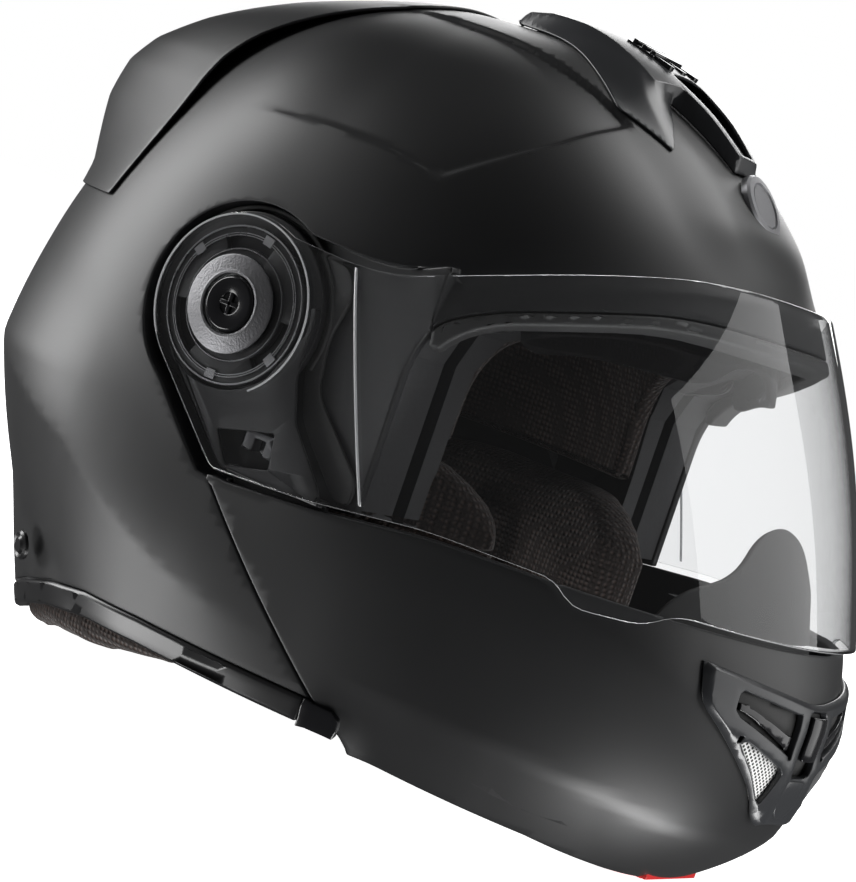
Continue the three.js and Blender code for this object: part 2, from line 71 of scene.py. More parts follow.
# ------------------------------------------------------------------ driving dimensions, mm
HEIGHT, HALF_WIDTH, WIDEST_Z, TUCK = 254.0, 123.0, 118.0, 0.12
BROW, BROW_Z = 153.0, 108.0
CHIN, CHIN_Z = 184.0, 64.0
RIDGE, RIDGE_Z, FOOT = 143.0, 97.0, 100.0
PIVOT_Z = PIVOT.z / MM
BASE = -30.0
RECESS_FLOOR = 110.0
VISOR_FLAT = 121.0
VISOR = {"proud": 3.4, "bottom": 182.0, "top": 132.0, "bulge": 4.0, "z_bottom": 90.0,
         "z_top": 195.0}
HEAD = {"half": 80.0, "front": 108.0, "rear": 98.0, "top": 228.0, "middle": 118.0}
LENS = {"radius": 128.0, "half_length": 112.5, "wall": 2.0}
# where flat pieces of the side begin and end, counted from the middle of the helmet
LAYER = {"seat": (110.2, 111.9), "seat_ring": (110.2, 112.6), "foot": (112.4, 114.8),
         "hub": (112.2, 115.2), "shelf": (112.4, 117.5), "hook": (112.6, 117.2),
         "skirt": (115.0, 118.2), "gear": (115.6, 118.2), "face": (117.3, 118.5),
         "hoop": (118.2, 118.8), "clip": (118.2, 118.9), "rim": (121.1, 121.6),
         "sun_arm": (80.9, 83.4), "lever": (96.5, 109.5), "lever_stem": (100.0, 105.0)}
SCREW_SEAT = 118.7
RING_SEAT = 121.4


# ------------------------------------------------------------------ surface formulas
def smooth_step(t):
    t = np.clip(t, 0.0, 1.0)
    return t * t * (3.0 - 2.0 * t)


def arch(share, power, root):
    return np.clip(1.0 - np.clip(share, 0.0, 1.0) ** power, 0.0, 1.0) ** (1.0 / root)


def half_width(z):
    above = HALF_WIDTH * arch((z - WIDEST_Z) / (HEIGHT - WIDEST_Z), 2.2, 2.2)
    below = HALF_WIDTH * (1.0 - TUCK * ((WIDEST_Z - z) / WIDEST_Z) ** 2)
    return np.where(z > WIDEST_Z, above, below)


def front_reach(z):
    brow = BROW * arch((z - BROW_Z) / (HEIGHT - BROW_Z), 2.1, 2.1)
    chin = CHIN - 19.0 * np.clip((CHIN_Z - z) / CHIN_Z, 0.0, 1.2) ** 2.4
    chin = chin - 6.0 * np.clip((z - CHIN_Z) / 35.0, 0.0, 1.0) ** 2
    return chin + (brow - chin) * smooth_step((z - 96.0) / 10.0)


def rear_reach(z):
    low = FOOT + (RIDGE - FOOT) * np.clip(z / RIDGE_Z, 0.0, 1.0) ** 0.9
    high = (RIDGE - 0.12 * (z - RIDGE_Z)) * arch((z - RIDGE_Z) / (HEIGHT - RIDGE_Z), 2.2, 2.2)
    blend = smooth_step((z - RIDGE_Z + 5.0) / 10.0)
    return low + (high - low) * blend


def shell_section(z):
    return half_width(z), front_reach(z), rear_reach(z)


def visor_section(z):
    share = (z - VISOR["z_bottom"]) / (VISOR["z_top"] - VISOR["z_bottom"])
    bulge = VISOR["bulge"] * np.sin(np.pi * np.clip(share, 0.0, 1.0))
    ahead = VISOR["bottom"] + (VISOR["top"] - VISOR["bottom"]) * share + bulge
    return half_width(z) + VISOR["proud"], ahead, rear_reach(z)


def head_section(z):
    rise = np.clip((z - HEAD["middle"]) / (HEAD["top"] - HEAD["middle"]), 0.0, 1.0)
    k = np.sqrt(1.0 - rise**2)
    return HEAD["half"] * k, HEAD["front"] * k, HEAD["rear"] * k


# ------------------------------------------------------------------ mesh helpers
def coords(bm):
    return np.array([v.co for v in bm.verts], float).reshape(-1, 3)


def set_coords(bm, co):
    for v, point in zip(bm.verts, co):
        v.co = point


def skin(section, top, bottom, rows, columns, spacing=1.0, grow=0.0):
    """A dense closed surface whose levels follow the section, from a grid rolled up."""
    bm = bmesh.new()
    bmesh.ops.create_grid(bm, x_segments=columns, y_segments=rows, size=1.0)
    co = coords(bm)
    share = (1.0 - co[:, 1]) / 2
    angle = math.pi * (1.5 + co[:, 0])
    z = top - (top - bottom) * share**spacing
    across, along = np.cos(angle), np.sin(angle)
    half, ahead, behind = section(z)
    cap = np.sqrt(np.clip((z - bottom) / 4.0, 0.0, 1.0))
    co[:, 0] = np.sign(across) * np.abs(across) ** (2 / 2.2) * half * cap
    co[:, 1] = np.sign(along) * np.abs(along) ** (2 / 2.1) * cap * np.where(
        along < 0.0, ahead, behind)
    co[:, 2] = z
    set_coords(bm, co)
    bmesh.ops.remove_doubles(bm, verts=[v for v in bm.verts if v.is_boundary], dist=1e-4)
    bmesh.ops.recalc_face_normals(bm, faces=bm.faces[:])
    if grow:
        push(bm, np.full(len(bm.verts), grow))
    return bm


def shell_skin(rows=130, columns=320, grow=0.0):
    return skin(shell_section, HEIGHT, BASE, rows, columns, 1.6, grow)


def visor_skin(grow=0.0):
    return skin(visor_section, 236.0, 60.0, 110, 300, 1.0, grow)


def push(bm, amounts):
    """Moves each vertex along its normal."""
    bm.normal_update()
    for v, amount in zip(bm.verts, amounts):
        v.co += v.normal * float(amount)


def signed_distance(points, outline):
    """Distance to a closed outline, below zero inside it."""
    a = np.array(outline, float)
    edge = np.roll(a, -1, axis=0) - a
    edge[:, 1] = np.where(np.abs(edge[:, 1]) < 1e-9, 1e-9, edge[:, 1])
    nearest = np.full(len(points), 1e9)
    crossings = np.zeros(len(points), int)
    for (ay, az), (ey, ez) in zip(a, edge):
        wy, wz = points[:, 0] - ay, points[:, 1] - az
        t = np.clip((wy * ey + wz * ez) / (ey * ey + ez * ez), 0.0, 1.0)
        nearest = np.minimum(nearest, (wy - ey * t) ** 2 + (wz - ez * t) ** 2)
        spans = (points[:, 1] >= az) != (points[:, 1] >= az + ez)
        crossings += spans & (points[:, 0] < ay + wz * ey / ez)
    return np.sqrt(nearest) * np.where(crossings % 2 == 1, -1.0, 1.0)


def rounded(points, radius=3.0, steps=5):
    """A closed outline with each corner turned on a curve of about this radius."""
    pts = [Vector(p[:2]) for p in points]
    result = []
    for i, corner in enumerate(pts):
        r = points[i][2] if len(points[i]) > 2 else radius
        if r == 0:
            result.append(tuple(corner))
            continue
        before, after = pts[i - 1] - corner, pts[(i + 1) % len(pts)] - corner
        cut = min(r, before.length * 0.48, after.length * 0.48)
        start, end = corner + before.normalized() * cut, corner + after.normalized() * cut
        for k in range(steps + 1):
            t = k / steps
            result.append(tuple(start * (1 - t) ** 2 + corner * 2 * t * (1 - t) + end * t * t))
    return result


def both_sides(half):
    """A closed outline from its half at positive X, listed from one end to the other."""
    return half + [(-x, *rest) for x, *rest in reversed(half) if x]


def circle(radius, centre=(0.0, PIVOT_Z), count=48, start=0.0, end=360.0):
    angles = np.radians(np.linspace(start, end, count, endpoint=abs(end - start) < 360.0))
    return [(centre[0] + radius * math.cos(t), centre[1] + radius * math.sin(t)) for t in angles]


FAR = 80.0  # what a field holds where the outline does not reach


def side_view(outline):
    """A field of the (y, z) plane, the same on both sides."""
    return lambda co: signed_distance(co[:, 1:3], outline)


def front_view(outline):
    def field(co):
        return np.where(co[:, 1] < -40.0, signed_distance(co[:, [0, 2]], outline), FAR)
    return field


def top_view(outline):
    def field(co):
        return np.where(co[:, 2] > 150.0, signed_distance(co[:, :2], outline), FAR)
    return field


def insert_line(bm, field, snap=0.25, held=None):
    """Adds edges along the line where the field is zero; points on the held line stay."""
    values = dict(zip(bm.verts, field(coords(bm))))
    kept = dict(zip(bm.verts, held(coords(bm)))) if held else {}
    nearest = {}
    for e in bm.edges:
        a, b = e.verts
        fa, fb = values[a], values[b]
        if fa * fb < 0.0:
            t = fa / (fa - fb)
            for v, share in ((a, t), (b, 1.0 - t)):
                on_held = abs(kept.get(v, 1.0)) < 0.02
                if share < snap and share < nearest.get(v, (1.0,))[0] and not on_held:
                    nearest[v] = (share, a.co.lerp(b.co, t))
    for v, (_, point) in nearest.items():
        v.co = point
        values[v] = 0.0
    for e in [e for e in bm.edges if values[e.verts[0]] * values[e.verts[1]] < 0.0]:
        a, b = e.verts
        t = values[a] / (values[a] - values[b])
        _, v = bmesh.utils.edge_split(e, a, t)
        values[v] = 0.0
    bmesh.ops.connect_verts(bm, verts=[v for v, f in values.items() if f == 0.0])


def faces_inside(bm, field):
    bm.faces.ensure_lookup_table()
    centres = np.array([f.calc_center_median() for f in bm.faces], float).reshape(-1, 3)
    return [f for f, d in zip(bm.faces, field(centres)) if d < 0.0]


def remove(bm, field):
    insert_line(bm, field)
    bmesh.ops.delete(bm, geom=faces_inside(bm, field), context="FACES")


def keep(bm, field):
    insert_line(bm, field)
    inside = set(faces_inside(bm, field))
    bmesh.ops.delete(bm, geom=[f for f in bm.faces if f not in inside], context="FACES")


def narrow(bm, low, high):
    """Drops what is outside a box, quickly, before a finer cut."""
    def out(f):
        c = f.calc_center_median()
        return any(c[i] < low[i] or c[i] > high[i] for i in range(3))
    bmesh.ops.delete(bm, geom=[f for f in bm.faces if out(f)], context="FACES")


def plate(loops, low, high, axis="X"):
    """A flat piece between two distances along an axis, from an outline and any holes."""
    bm = bmesh.new()
    for loop in loops:
        verts = [bm.verts.new((a, b, 0.0)) for a, b in loop]
        for i, v in enumerate(verts):
            bm.edges.new((v, verts[(i + 1) % len(verts)]))
    bmesh.ops.triangle_fill(bm, use_beauty=True, use_dissolve=False, edges=bm.edges[:])
    bmesh.ops.recalc_face_normals(bm, faces=bm.faces[:])
    made = bmesh.ops.extrude_face_region(bm, geom=bm.faces[:], use_keep_orig=True)["geom"]
    tops = [g for g in made if isinstance(g, bmesh.types.BMVert)]
    bmesh.ops.translate(bm, verts=tops, vec=(0.0, 0.0, high - low))
    bmesh.ops.translate(bm, verts=bm.verts[:], vec=(0.0, 0.0, low))
    turn = {"X": Matrix(((0, 0, 1), (1, 0, 0), (0, 1, 0))), "Z": Matrix.Identity(3),
            "Y": Matrix(((1, 0, 0), (0, 0, -1), (0, 1, 0)))}[axis]
    bmesh.ops.transform(bm, matrix=turn.to_4x4(), verts=bm.verts[:])
    bmesh.ops.recalc_face_normals(bm, faces=bm.faces[:])
    return bm


def band(outer, inner, start, end, layer, count=96):
    """A flat arc about the pivot axis, or a whole ring when it runs the full turn."""
    arcs = [circle(radius, count=count, start=start, end=end) for radius in (outer, inner)]
    if end - start < 360:
        arcs = [arcs[0] + arcs[1][::-1]]
    return plate(arcs, *layer)


def box_between(low, high):
    bm = bmesh.new()
    bmesh.ops.create_cube(bm, size=1.0)
    low, high = Vector(low), Vector(high)
    bmesh.ops.scale(bm, vec=high - low, verts=bm.verts[:])
    bmesh.ops.translate(bm, vec=(low + high) / 2, verts=bm.verts[:])
    return bm


def turned(profile, steps=72, closed=True):
    """A profile of (radius, height) points spun about Z; closed on the axis by merging."""
    bm = bmesh.new()
    verts = [bm.verts.new((r, 0.0, h)) for r, h in profile]
    edges = [bm.edges.new(pair) for pair in zip(verts, verts[1:])]
    if closed:
        edges.append(bm.edges.new((verts[-1], verts[0])))
    bmesh.ops.spin(bm, geom=verts + edges, cent=(0, 0, 0), axis=(0, 0, 1),
                   angle=math.tau, steps=steps, use_merge=True)
    bmesh.ops.remove_doubles(bm, verts=bm.verts[:], dist=1e-4)
    bmesh.ops.recalc_face_normals(bm, faces=bm.faces[:])
    return bm


def aim(bm, point, facing, spin=0.0):
    """Puts a piece made on the Z axis at a point, with Z along the given direction."""
    turn = Vector(facing).normalized().to_track_quat("Z", "Y").to_matrix().to_4x4()
    matrix = Matrix.Translation(point) @ turn @ Matrix.Rotation(spin, 4, "Z")
    bmesh.ops.transform(bm, matrix=matrix, verts=bm.verts[:])
    return bm


def mirrored(bm):
    """A copy for the other side of the helmet."""
    other = bm.copy()
    bmesh.ops.scale(other, vec=(-1, 1, 1), verts=other.verts[:])
    bmesh.ops.reverse_faces(other, faces=other.faces[:])
    return other


def merge(bm, other):
    """Adds the other mesh to bm and frees it."""
    loose = bpy.data.meshes.new("loose")
    other.to_mesh(loose)
    other.free()
    bm.from_mesh(loose)
    bpy.data.meshes.remove(loose)
    return bm


def finish(name, bm, body, material, slot, replaces=(), wall=0.0, edge=0.0, segments=3,
           sharp=40.0, even=True):
    """Puts a drawing in the frame as an object that rides on its body."""
    bmesh.ops.scale(bm, vec=(MM, MM, MM), verts=bm.verts[:])
    bmesh.ops.translate(bm, vec=(0.0, PIVOT.y, 0.0), verts=bm.verts[:])
    mesh = bpy.data.meshes.new(name)
    bm.to_mesh(mesh)
    bm.free()
    mesh.materials.append(material)
    mesh.polygons.foreach_set("use_smooth", [True] * len(mesh.polygons))
    if not edge:
        mesh.set_sharp_from_angle(angle=math.radians(30.0))
    obj = bpy.data.objects.new(name, mesh)
    bpy.context.scene.collection.objects.link(obj)
    if wall:
        solid = obj.modifiers.new("wall", "SOLIDIFY")
        solid.thickness, solid.offset, solid.use_even_offset = wall * MM, -1.0, even
    if edge:
        bevel = obj.modifiers.new("edges", "BEVEL")
        bevel.width, bevel.segments, bevel.limit_method = edge * MM, segments, "ANGLE"
        bevel.angle_limit, bevel.use_clamp_overlap = math.radians(sharp), False
        bevel.miter_outer = "MITER_ARC"
    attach(obj, body)
    if replaces:
        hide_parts(*replaces)
    return obj


def finish_pair(name, bm, body, material, slot, **options):
    """The left piece as drawn at +X, and its mirror on the right."""
    replaces = options.pop("replaces", ())
    made = []
    for side, half in (("right", mirrored(bm)), ("left", bm)):
        nodes = [f"{node}_{side}" for node in replaces]
        made.append(finish(f"{name}_{side}", half, body, material, slot, nodes, **options))
    return made


# ------------------------------------------------------------------ parting lines, side view
def chin_outline(gap=0.0):
    return rounded([
        (-12 - gap, 82 - gap, 3), (-46 - gap, 84 - gap, 10), (-90, 89 - gap, 10), (-240, 89 - gap),
        (-240, BASE), (-80 - gap, BASE), (-79 - gap, 16, 6), (-60 - gap, 33, 20)])


def eyeport_outline(gap=0.0):
    return rounded([
        (-62 - gap, 70), (-62 - gap, 138 - gap, 12), (-67 - gap, 152 - gap, 12),
        (-82, 161 - gap, 12), (-104, 170 - gap, 12), (-124, 179 - gap, 12), (-240, 182 - gap),
        (-240, 70)])


def visor_outline(grow=0.0, tab=True):
    """A round end on the pivot, a corner behind the chin bar's top, and a rising top edge."""
    radius = 30.0 + grow
    corner = Vector((-12 + grow, 84 - grow))
    arm = corner - Vector((0.0, PIVOT_Z))
    tangent = math.degrees(math.atan2(arm.y, arm.x) + math.acos(radius / arm.length))
    arc = [(y, z, 0) for y, z in circle(radius, count=28, start=tangent, end=117.0)]
    top = [(-39, 160 + grow, 14), (-53, 161.5 + grow, 12), (-77, 171 + grow, 14),
           (-104, 183 + grow, 14), (-126, 193 + grow, 14), (-220, 197 + grow, 1)]
    lip = [(-158, 90.5 - grow, 4), (-152, 84.5, 4), (-134, 83, 4), (-127, 89.5, 4)] if tab else []
    bottom = [(-220, 90.5 - grow, 1), *lip, (-90, 90.5 - grow, 10), (-46, 85.5 - grow, 10)]
    return rounded(arc + top + bottom + [(corner.x, corner.y, 2)])


RIM = [(120, 1), (100, 2.5), (84, 6), (66, 12.5), (46, 18), (26, 20.5), (0, 20.5), (-79, 17.5)]
TRIM_HEIGHT = 8.5


def rim_line(lift, front=-79.0):
    line = [(y, z + lift) for y, z in RIM if y > front] + [(front, 17.6 + lift)]
    return [(160, 0.5 + lift)] + line


# ------------------------------------------------------------------ soft creases
CREASE_Y = [-70, -30, -8, 11, 28, 48, 69, 102, 143]
CREASE_Z = [38, 43, 48, 55, 63, 74, 80, 92, 97]


def side_tuck(co):
    """A shoulder along a crease that falls from the back to the seam; below it leans in."""
    below = np.interp(co[:, 1], CREASE_Y, CREASE_Z) - co[:, 2]
    shoulder = np.where(below > 0.0, 2.4 - 0.14 * below, 2.4 - 2.4 * smooth_step(-below / 42.0))
    fade = smooth_step((134.0 - co[:, 1]) / 40.0) * smooth_step((co[:, 1] + 60.0) / 50.0)
    return np.clip(shoulder, -3.4, 3.0) * fade


CROWN_EDGE = [(120, 190), (60, 194), (23, 197), (-2, 199), (-24, 198), (-45, 194), (-57, 206),
              (-67, 217), (-73, 228), (-78, 240), (-78, 300), (120, 300)]


def crown_panel(co):
    """The sunk side panel of the crown, between the brow and the vent's bed."""
    edge = signed_distance(co[:, 1:3], CROWN_EDGE)
    return np.where(co[:, 2] > 150.0, np.maximum(edge, 43.0 - np.abs(co[:, 0])), FAR)


def crown_steps(co):
    fade = smooth_step((34.0 - co[:, 1]) / 40.0)
    return -1.5 * np.clip(-crown_panel(co) / 1.6, 0.0, 1.0) * fade


def vent_bed(co):
    """A broad rise along the middle of the crown that carries the vent and the badge."""
    across = smooth_step((50.0 - np.abs(co[:, 0])) / 26.0)
    along = smooth_step((-co[:, 1] - 4.0) / 40.0) * smooth_step((co[:, 2] - 192.0) / 18.0)
    return 2.7 * across * along


def chin_creases(co):
    """A chamfer under the chin bar and a soft shoulder below its top edge."""
    low = np.interp(-co[:, 1], [60, 95, 125, 152, 172, 190], [38, 35, 33, 29, 23, 22])
    under = np.clip(low - co[:, 2], 0.0, 60.0)
    high = np.interp(-co[:, 1], [118, 129, 147, 166, 185], [92, 84, 78, 69, 66])
    over = np.clip(co[:, 2] - high, 0.0, 30.0) * smooth_step((-co[:, 1] - 112.0) / 18.0)
    return -0.3 * under * smooth_step((-co[:, 1] - 66.0) / 24.0) - 0.12 * over


# ------------------------------------------------------------------ shared shader effects
def node_group(name, inputs, outputs):
    tree = bpy.data.node_groups.new(name, "ShaderNodeTree")
    for label, default in inputs:
        socket = tree.interface.new_socket(label, in_out="INPUT", socket_type="NodeSocketFloat")
        socket.default_value = default
    for label, kind in outputs:
        tree.interface.new_socket(label, in_out="OUTPUT", socket_type=f"NodeSocket{kind}")
    return tree, tree.nodes.new("NodeGroupInput"), tree.nodes.new("NodeGroupOutput")


def make_grain():
    """Fine pebbling: a normal, and a slow mask that varies tone over the surface."""
    tree, given, result = node_group(
        "grain", [("Scale", 900.0), ("Depth", 0.1)], [("Normal", "Vector"), ("Mask", "Float")])
    nodes, links = tree.nodes, tree.links
    place = nodes.new("ShaderNodeTexCoord")
    fine = nodes.new("ShaderNodeTexNoise")
    fine.inputs["Detail"].default_value = 2.0
    slow = nodes.new("ShaderNodeTexNoise")
    slow.inputs["Scale"].default_value = 22.0
    slow.inputs["Detail"].default_value = 4.0
    bump = nodes.new("ShaderNodeBump")
    bump.inputs["Distance"].default_value = 0.0003
    links.new(place.outputs["Object"], fine.inputs["Vector"])
    links.new(place.outputs["Object"], slow.inputs["Vector"])
    links.new(given.outputs["Scale"], fine.inputs["Scale"])
    links.new(given.outputs["Depth"], bump.inputs["Strength"])
    links.new(fine.outputs["Fac"], bump.inputs["Height"])
    links.new(bump.outputs["Normal"], result.inputs["Normal"])
    links.new(slow.outputs["Fac"], result.inputs["Mask"])
    return tree


def make_weave():
    """An open knit: small round holes in rows, as a normal and a mask of the holes."""
    tree, given, result = node_group(
        "weave", [("Scale", 420.0), ("Depth", 0.6)], [("Normal", "Vector"), ("Mask", "Float")])
    nodes, links = tree.nodes, tree.links
    place = nodes.new("ShaderNodeTexCoord")
    cells = nodes.new("ShaderNodeTexVoronoi")
    cells.inputs["Randomness"].default_value = 0.25
    spread = nodes.new("ShaderNodeMapRange")
    spread.inputs["From Min"].default_value = 0.1
    spread.inputs["From Max"].default_value = 0.55
    bump = nodes.new("ShaderNodeBump")
    bump.inputs["Distance"].default_value = 0.0012
    links.new(place.outputs["Object"], cells.inputs["Vector"])
    links.new(given.outputs["Scale"], cells.inputs["Scale"])
    links.new(given.outputs["Depth"], bump.inputs["Strength"])
    links.new(cells.outputs["Distance"], spread.inputs["Value"])
    links.new(spread.outputs["Result"], bump.inputs["Height"])
    links.new(bump.outputs["Normal"], result.inputs["Normal"])
    links.new(spread.outputs["Result"], result.inputs["Mask"])
    return tree


GRAIN, WEAVE = make_grain(), make_weave()


def start_material(name):
    material = bpy.data.materials.new(name)
    material.use_nodes = True
    nodes, links = material.node_tree.nodes, material.node_tree.links
    return material, nodes, links, nodes["Principled BSDF"]


def surface(name, colour, roughness, effect=GRAIN, scale=900.0, depth=0.08, second=None,
            spread=0.06, **extra):
    """A Principled finish whose tone and roughness follow the effect's mask."""
    material, nodes, links, shader = start_material(name)
    effects = nodes.new("ShaderNodeGroup")
    effects.node_tree = effect
    effects.inputs["Scale"].default_value = scale
    effects.inputs["Depth"].default_value = depth
    tone = nodes.new("ShaderNodeMix")
    tone.data_type = "RGBA"
    tone.inputs["A"].default_value = (*colour, 1.0)
    tone.inputs["B"].default_value = (*(second or [c * 1.25 for c in colour]), 1.0)
    rough = nodes.new("ShaderNodeMapRange")
    rough.inputs["To Min"].default_value = roughness - spread
    rough.inputs["To Max"].default_value = roughness + spread
    links.new(effects.outputs["Mask"], tone.inputs["Factor"])
    links.new(effects.outputs["Mask"], rough.inputs["Value"])
    links.new(tone.outputs["Result"], shader.inputs["Base Color"])
    links.new(rough.outputs["Result"], shader.inputs["Roughness"])
    links.new(effects.outputs["Normal"], shader.inputs["Normal"])
    for label, value in extra.items():
        shader.inputs[label.replace("_", " ")].default_value = value
    return material


def perforated(name):
    """Bright sheet metal with rows of small round holes."""
    material, nodes, links, shader = start_material(name)
    place = nodes.new("ShaderNodeTexCoord")
    turn = nodes.new("ShaderNodeMapping")
    turn.inputs["Rotation"].default_value = (0.0, math.radians(45.0), 0.0)
    turn.inputs["Scale"].default_value = (1.0, 0.0, 1.0)
    holes = nodes.new("ShaderNodeTexVoronoi")
    holes.inputs["Randomness"].default_value = 0.0
    holes.inputs["Scale"].default_value = 700.0
    ramp = nodes.new("ShaderNodeMapRange")
    ramp.inputs["From Min"].default_value = 0.30
    ramp.inputs["From Max"].default_value = 0.38
    tone = nodes.new("ShaderNodeMix")
    tone.data_type = "RGBA"
    tone.inputs["A"].default_value = (0.006, 0.006, 0.006, 1.0)
    tone.inputs["B"].default_value = (0.80, 0.80, 0.79, 1.0)
    shader.inputs["Roughness"].default_value = 0.45
    links.new(place.outputs["Object"], turn.inputs["Vector"])
    links.new(turn.outputs["Vector"], holes.inputs["Vector"])
    links.new(holes.outputs["Distance"], ramp.inputs["Value"])
    links.new(ramp.outputs["Result"], tone.inputs["Factor"])
    links.new(tone.outputs["Result"], shader.inputs["Base Color"])
    return material


def glass(name, colour, roughness=0.0):
    """Clear plastic that lets lamps shine through it."""
    material, nodes, links, shader = start_material(name)
    shader.inputs["Base Color"].default_value = (*colour, 1.0)
    shader.inputs["Roughness"].default_value = roughness
    shader.inputs["IOR"].default_value = 1.5
    shader.inputs["Transmission Weight"].default_value = 1.0
    path = nodes.new("ShaderNodeLightPath")
    through = nodes.new("ShaderNodeBsdfTransparent")
    through.inputs["Color"].default_value = (*colour, 1.0)
    mix = nodes.new("ShaderNodeMixShader")
    links.new(path.outputs["Is Shadow Ray"], mix.inputs["Fac"])
    links.new(shader.outputs["BSDF"], mix.inputs[1])
    links.new(through.outputs["BSDF"], mix.inputs[2])
    links.new(mix.outputs["Shader"], nodes["Material Output"].inputs["Surface"])
    return material


MATERIALS = {}


def make_materials(colours):
    shell, lining = tuple(colours.shell), tuple(colours.lining)
    MATERIALS.update(
        matte_shell=surface("matte_shell", shell, 0.42, scale=1500.0, depth=0.05, spread=0.04),
        foam=surface("foam", (0.02, 0.02, 0.021), 0.9, scale=380.0, depth=0.5),
        lining=surface("lining", lining, 0.92, WEAVE, 520.0, 0.7, second=[c * 0.25 for c in lining],
                       Sheen_Weight=0.12, Sheen_Roughness=0.5),
        satin_black=surface("satin_black", (0.009, 0.009, 0.0095), 0.3, scale=900.0, depth=0.012),
        gloss_black=surface("gloss_black", (0.007, 0.007, 0.008), 0.16, scale=700.0, depth=0.01,
                            spread=0.03),
        vent_satin=surface("vent_satin", (0.020, 0.021, 0.023), 0.30, scale=700.0, depth=0.01,
                           spread=0.04),
        badge_grey=surface("badge_grey", tuple(colours.badge), 0.36, Metallic=0.6, spread=0.05),
        seal_rubber=surface("seal_rubber", (0.012, 0.012, 0.012), 0.62, scale=600.0, depth=0.12),
        steel=surface("steel", (0.42, 0.42, 0.43), 0.28, scale=500.0, depth=0.03, Metallic=1.0),
        webbing=surface("webbing", (0.014, 0.014, 0.015), 0.85, WEAVE, 900.0, 0.6),
        release_red=surface("release_red", (0.42, 0.012, 0.012), 0.4, scale=800.0, depth=0.05),
        dark_steel=surface("dark_steel", (0.13, 0.13, 0.134), 0.3, scale=500.0, depth=0.02,
                           Metallic=1.0),
        speckled=surface("speckled", (0.05, 0.05, 0.052), 0.42, scale=1500.0, depth=0.5,
                         second=[0.24, 0.24, 0.25], Metallic=0.8),
        perforated=perforated("perforated"),
        steel_mesh=surface("steel_mesh", (0.004, 0.004, 0.004), 0.5, WEAVE, 560.0, 0.9,
                           second=[0.09, 0.09, 0.09], spread=0.1),
        clear_visor=glass("clear_visor", tuple(colours.visor)),
        # pale grey and half clear: the frosted look of cut plastic edges, with a painted highlight laid on them
        visor_edge=surface("visor_edge", (0.62, 0.63, 0.64), 0.22, scale=500.0, depth=0.02,
                           Transmission_Weight=0.5),
        smoke_visor=glass("smoke_visor", (0.16, 0.16, 0.17)),
    )


# ------------------------------------------------------------------ settings
def millimetres(name, description, default, low, high):
    return bpy.props.FloatProperty(
        name=name, description=description, default=default * MM, min=low * MM, max=high * MM,
        precision=4, unit="LENGTH")


def tint(name, description, default):
    return bpy.props.FloatVectorProperty(
        name=name, description=description, default=default, min=0.0, max=1.0, size=3,
        subtype="COLOR")


class HelmetSizes(bpy.types.PropertyGroup):
    shell_wall: millimetres("Shell wall", "Thickness of the shell and chin bar", 4.0, 2.0, 5.0)
    visor_wall: millimetres("Visor wall", "Thickness of the clear visor", 2.0, 1.0, 2.4)
    edge: millimetres("Edge rounding", "Rounding along the shell's cut edges", 0.7, 0.2, 1.2)
    pad: millimetres("Cheek pad", "Thickness of a cheek pad before it is stuffed", 20.0, 12.0, 22.0)


class HelmetColours(bpy.types.PropertyGroup):
    shell: tint("Shell", "Matte colour of the shell", (0.0085, 0.0087, 0.0092))
    lining: tint("Lining", "Colour of the knitted lining", (0.046, 0.026, 0.019))
    visor: tint("Visor", "Tint of the clear visor", (0.97, 0.975, 0.98))
    badge: tint("Badge", "Colour of the front badge", (0.26, 0.26, 0.27))


def sizes():
    return bpy.context.scene.helmet_sizes


def wall_mm():
    return sizes().shell_wall / MM


class Piece(bpy.types.Operator):
    """Shared by the operators that build one piece, or a group of like pieces."""
    bl_options = {"REGISTER", "UNDO"}

    def execute(self, context):
        if not MATERIALS:
            make_materials(context.scene.helmet_colours)
        self.build()
        return {"FINISHED"}


# ------------------------------------------------------------------ shell
def shell_surface(grow=0.0, low=None, high=None, rows=130, columns=320):
    """The shell's outer surface with its creases, moved out by grow; the box limits it."""
    bm = shell_skin(rows, columns)
    if low:
        narrow(bm, low, high)
    insert_line(bm, crown_panel)
    insert_line(bm, lambda co: crown_panel(co) + 1.6, held=crown_panel)
    insert_line(bm, lambda co: np.interp(co[:, 1], CREASE_Y, CREASE_Z) - co[:, 2])
    co = coords(bm)
    push(bm, side_tuck(co) + crown_steps(co) + vent_bed(co) + grow)
    return bm


def recess_field(co):
    panel = np.maximum(side_view(visor_outline(3.0, tab=False))(co), -66.0 - co[:, 1])
    disc = np.hypot(co[:, 1], co[:, 2] - PIVOT_Z) - 34.0
    return np.where(np.abs(co[:, 0]) > 60.0, np.minimum(panel, disc), 60.0)


def sink_recess(bm):
    """Presses the visor's seat into both sides, down to a flat floor."""
    insert_line(bm, recess_field)
    inside = faces_inside(bm, recess_field)
    made = bmesh.ops.extrude_face_region(bm, geom=inside)["geom"]
    bmesh.ops.delete(bm, geom=inside, context="FACES")
    for v in made:
        if isinstance(v, bmesh.types.BMVert):
            v.co.x = math.copysign(RECESS_FLOOR, v.co.x)


BELOW = [(-240.0, BASE - 40.0), (160.0, BASE - 40.0)]


def below_rim(lift):
    """Everything under a line that runs parallel to the neck rim."""
    return side_view(rim_line(lift) + [(-240.0, 17.6 + lift)] + BELOW)


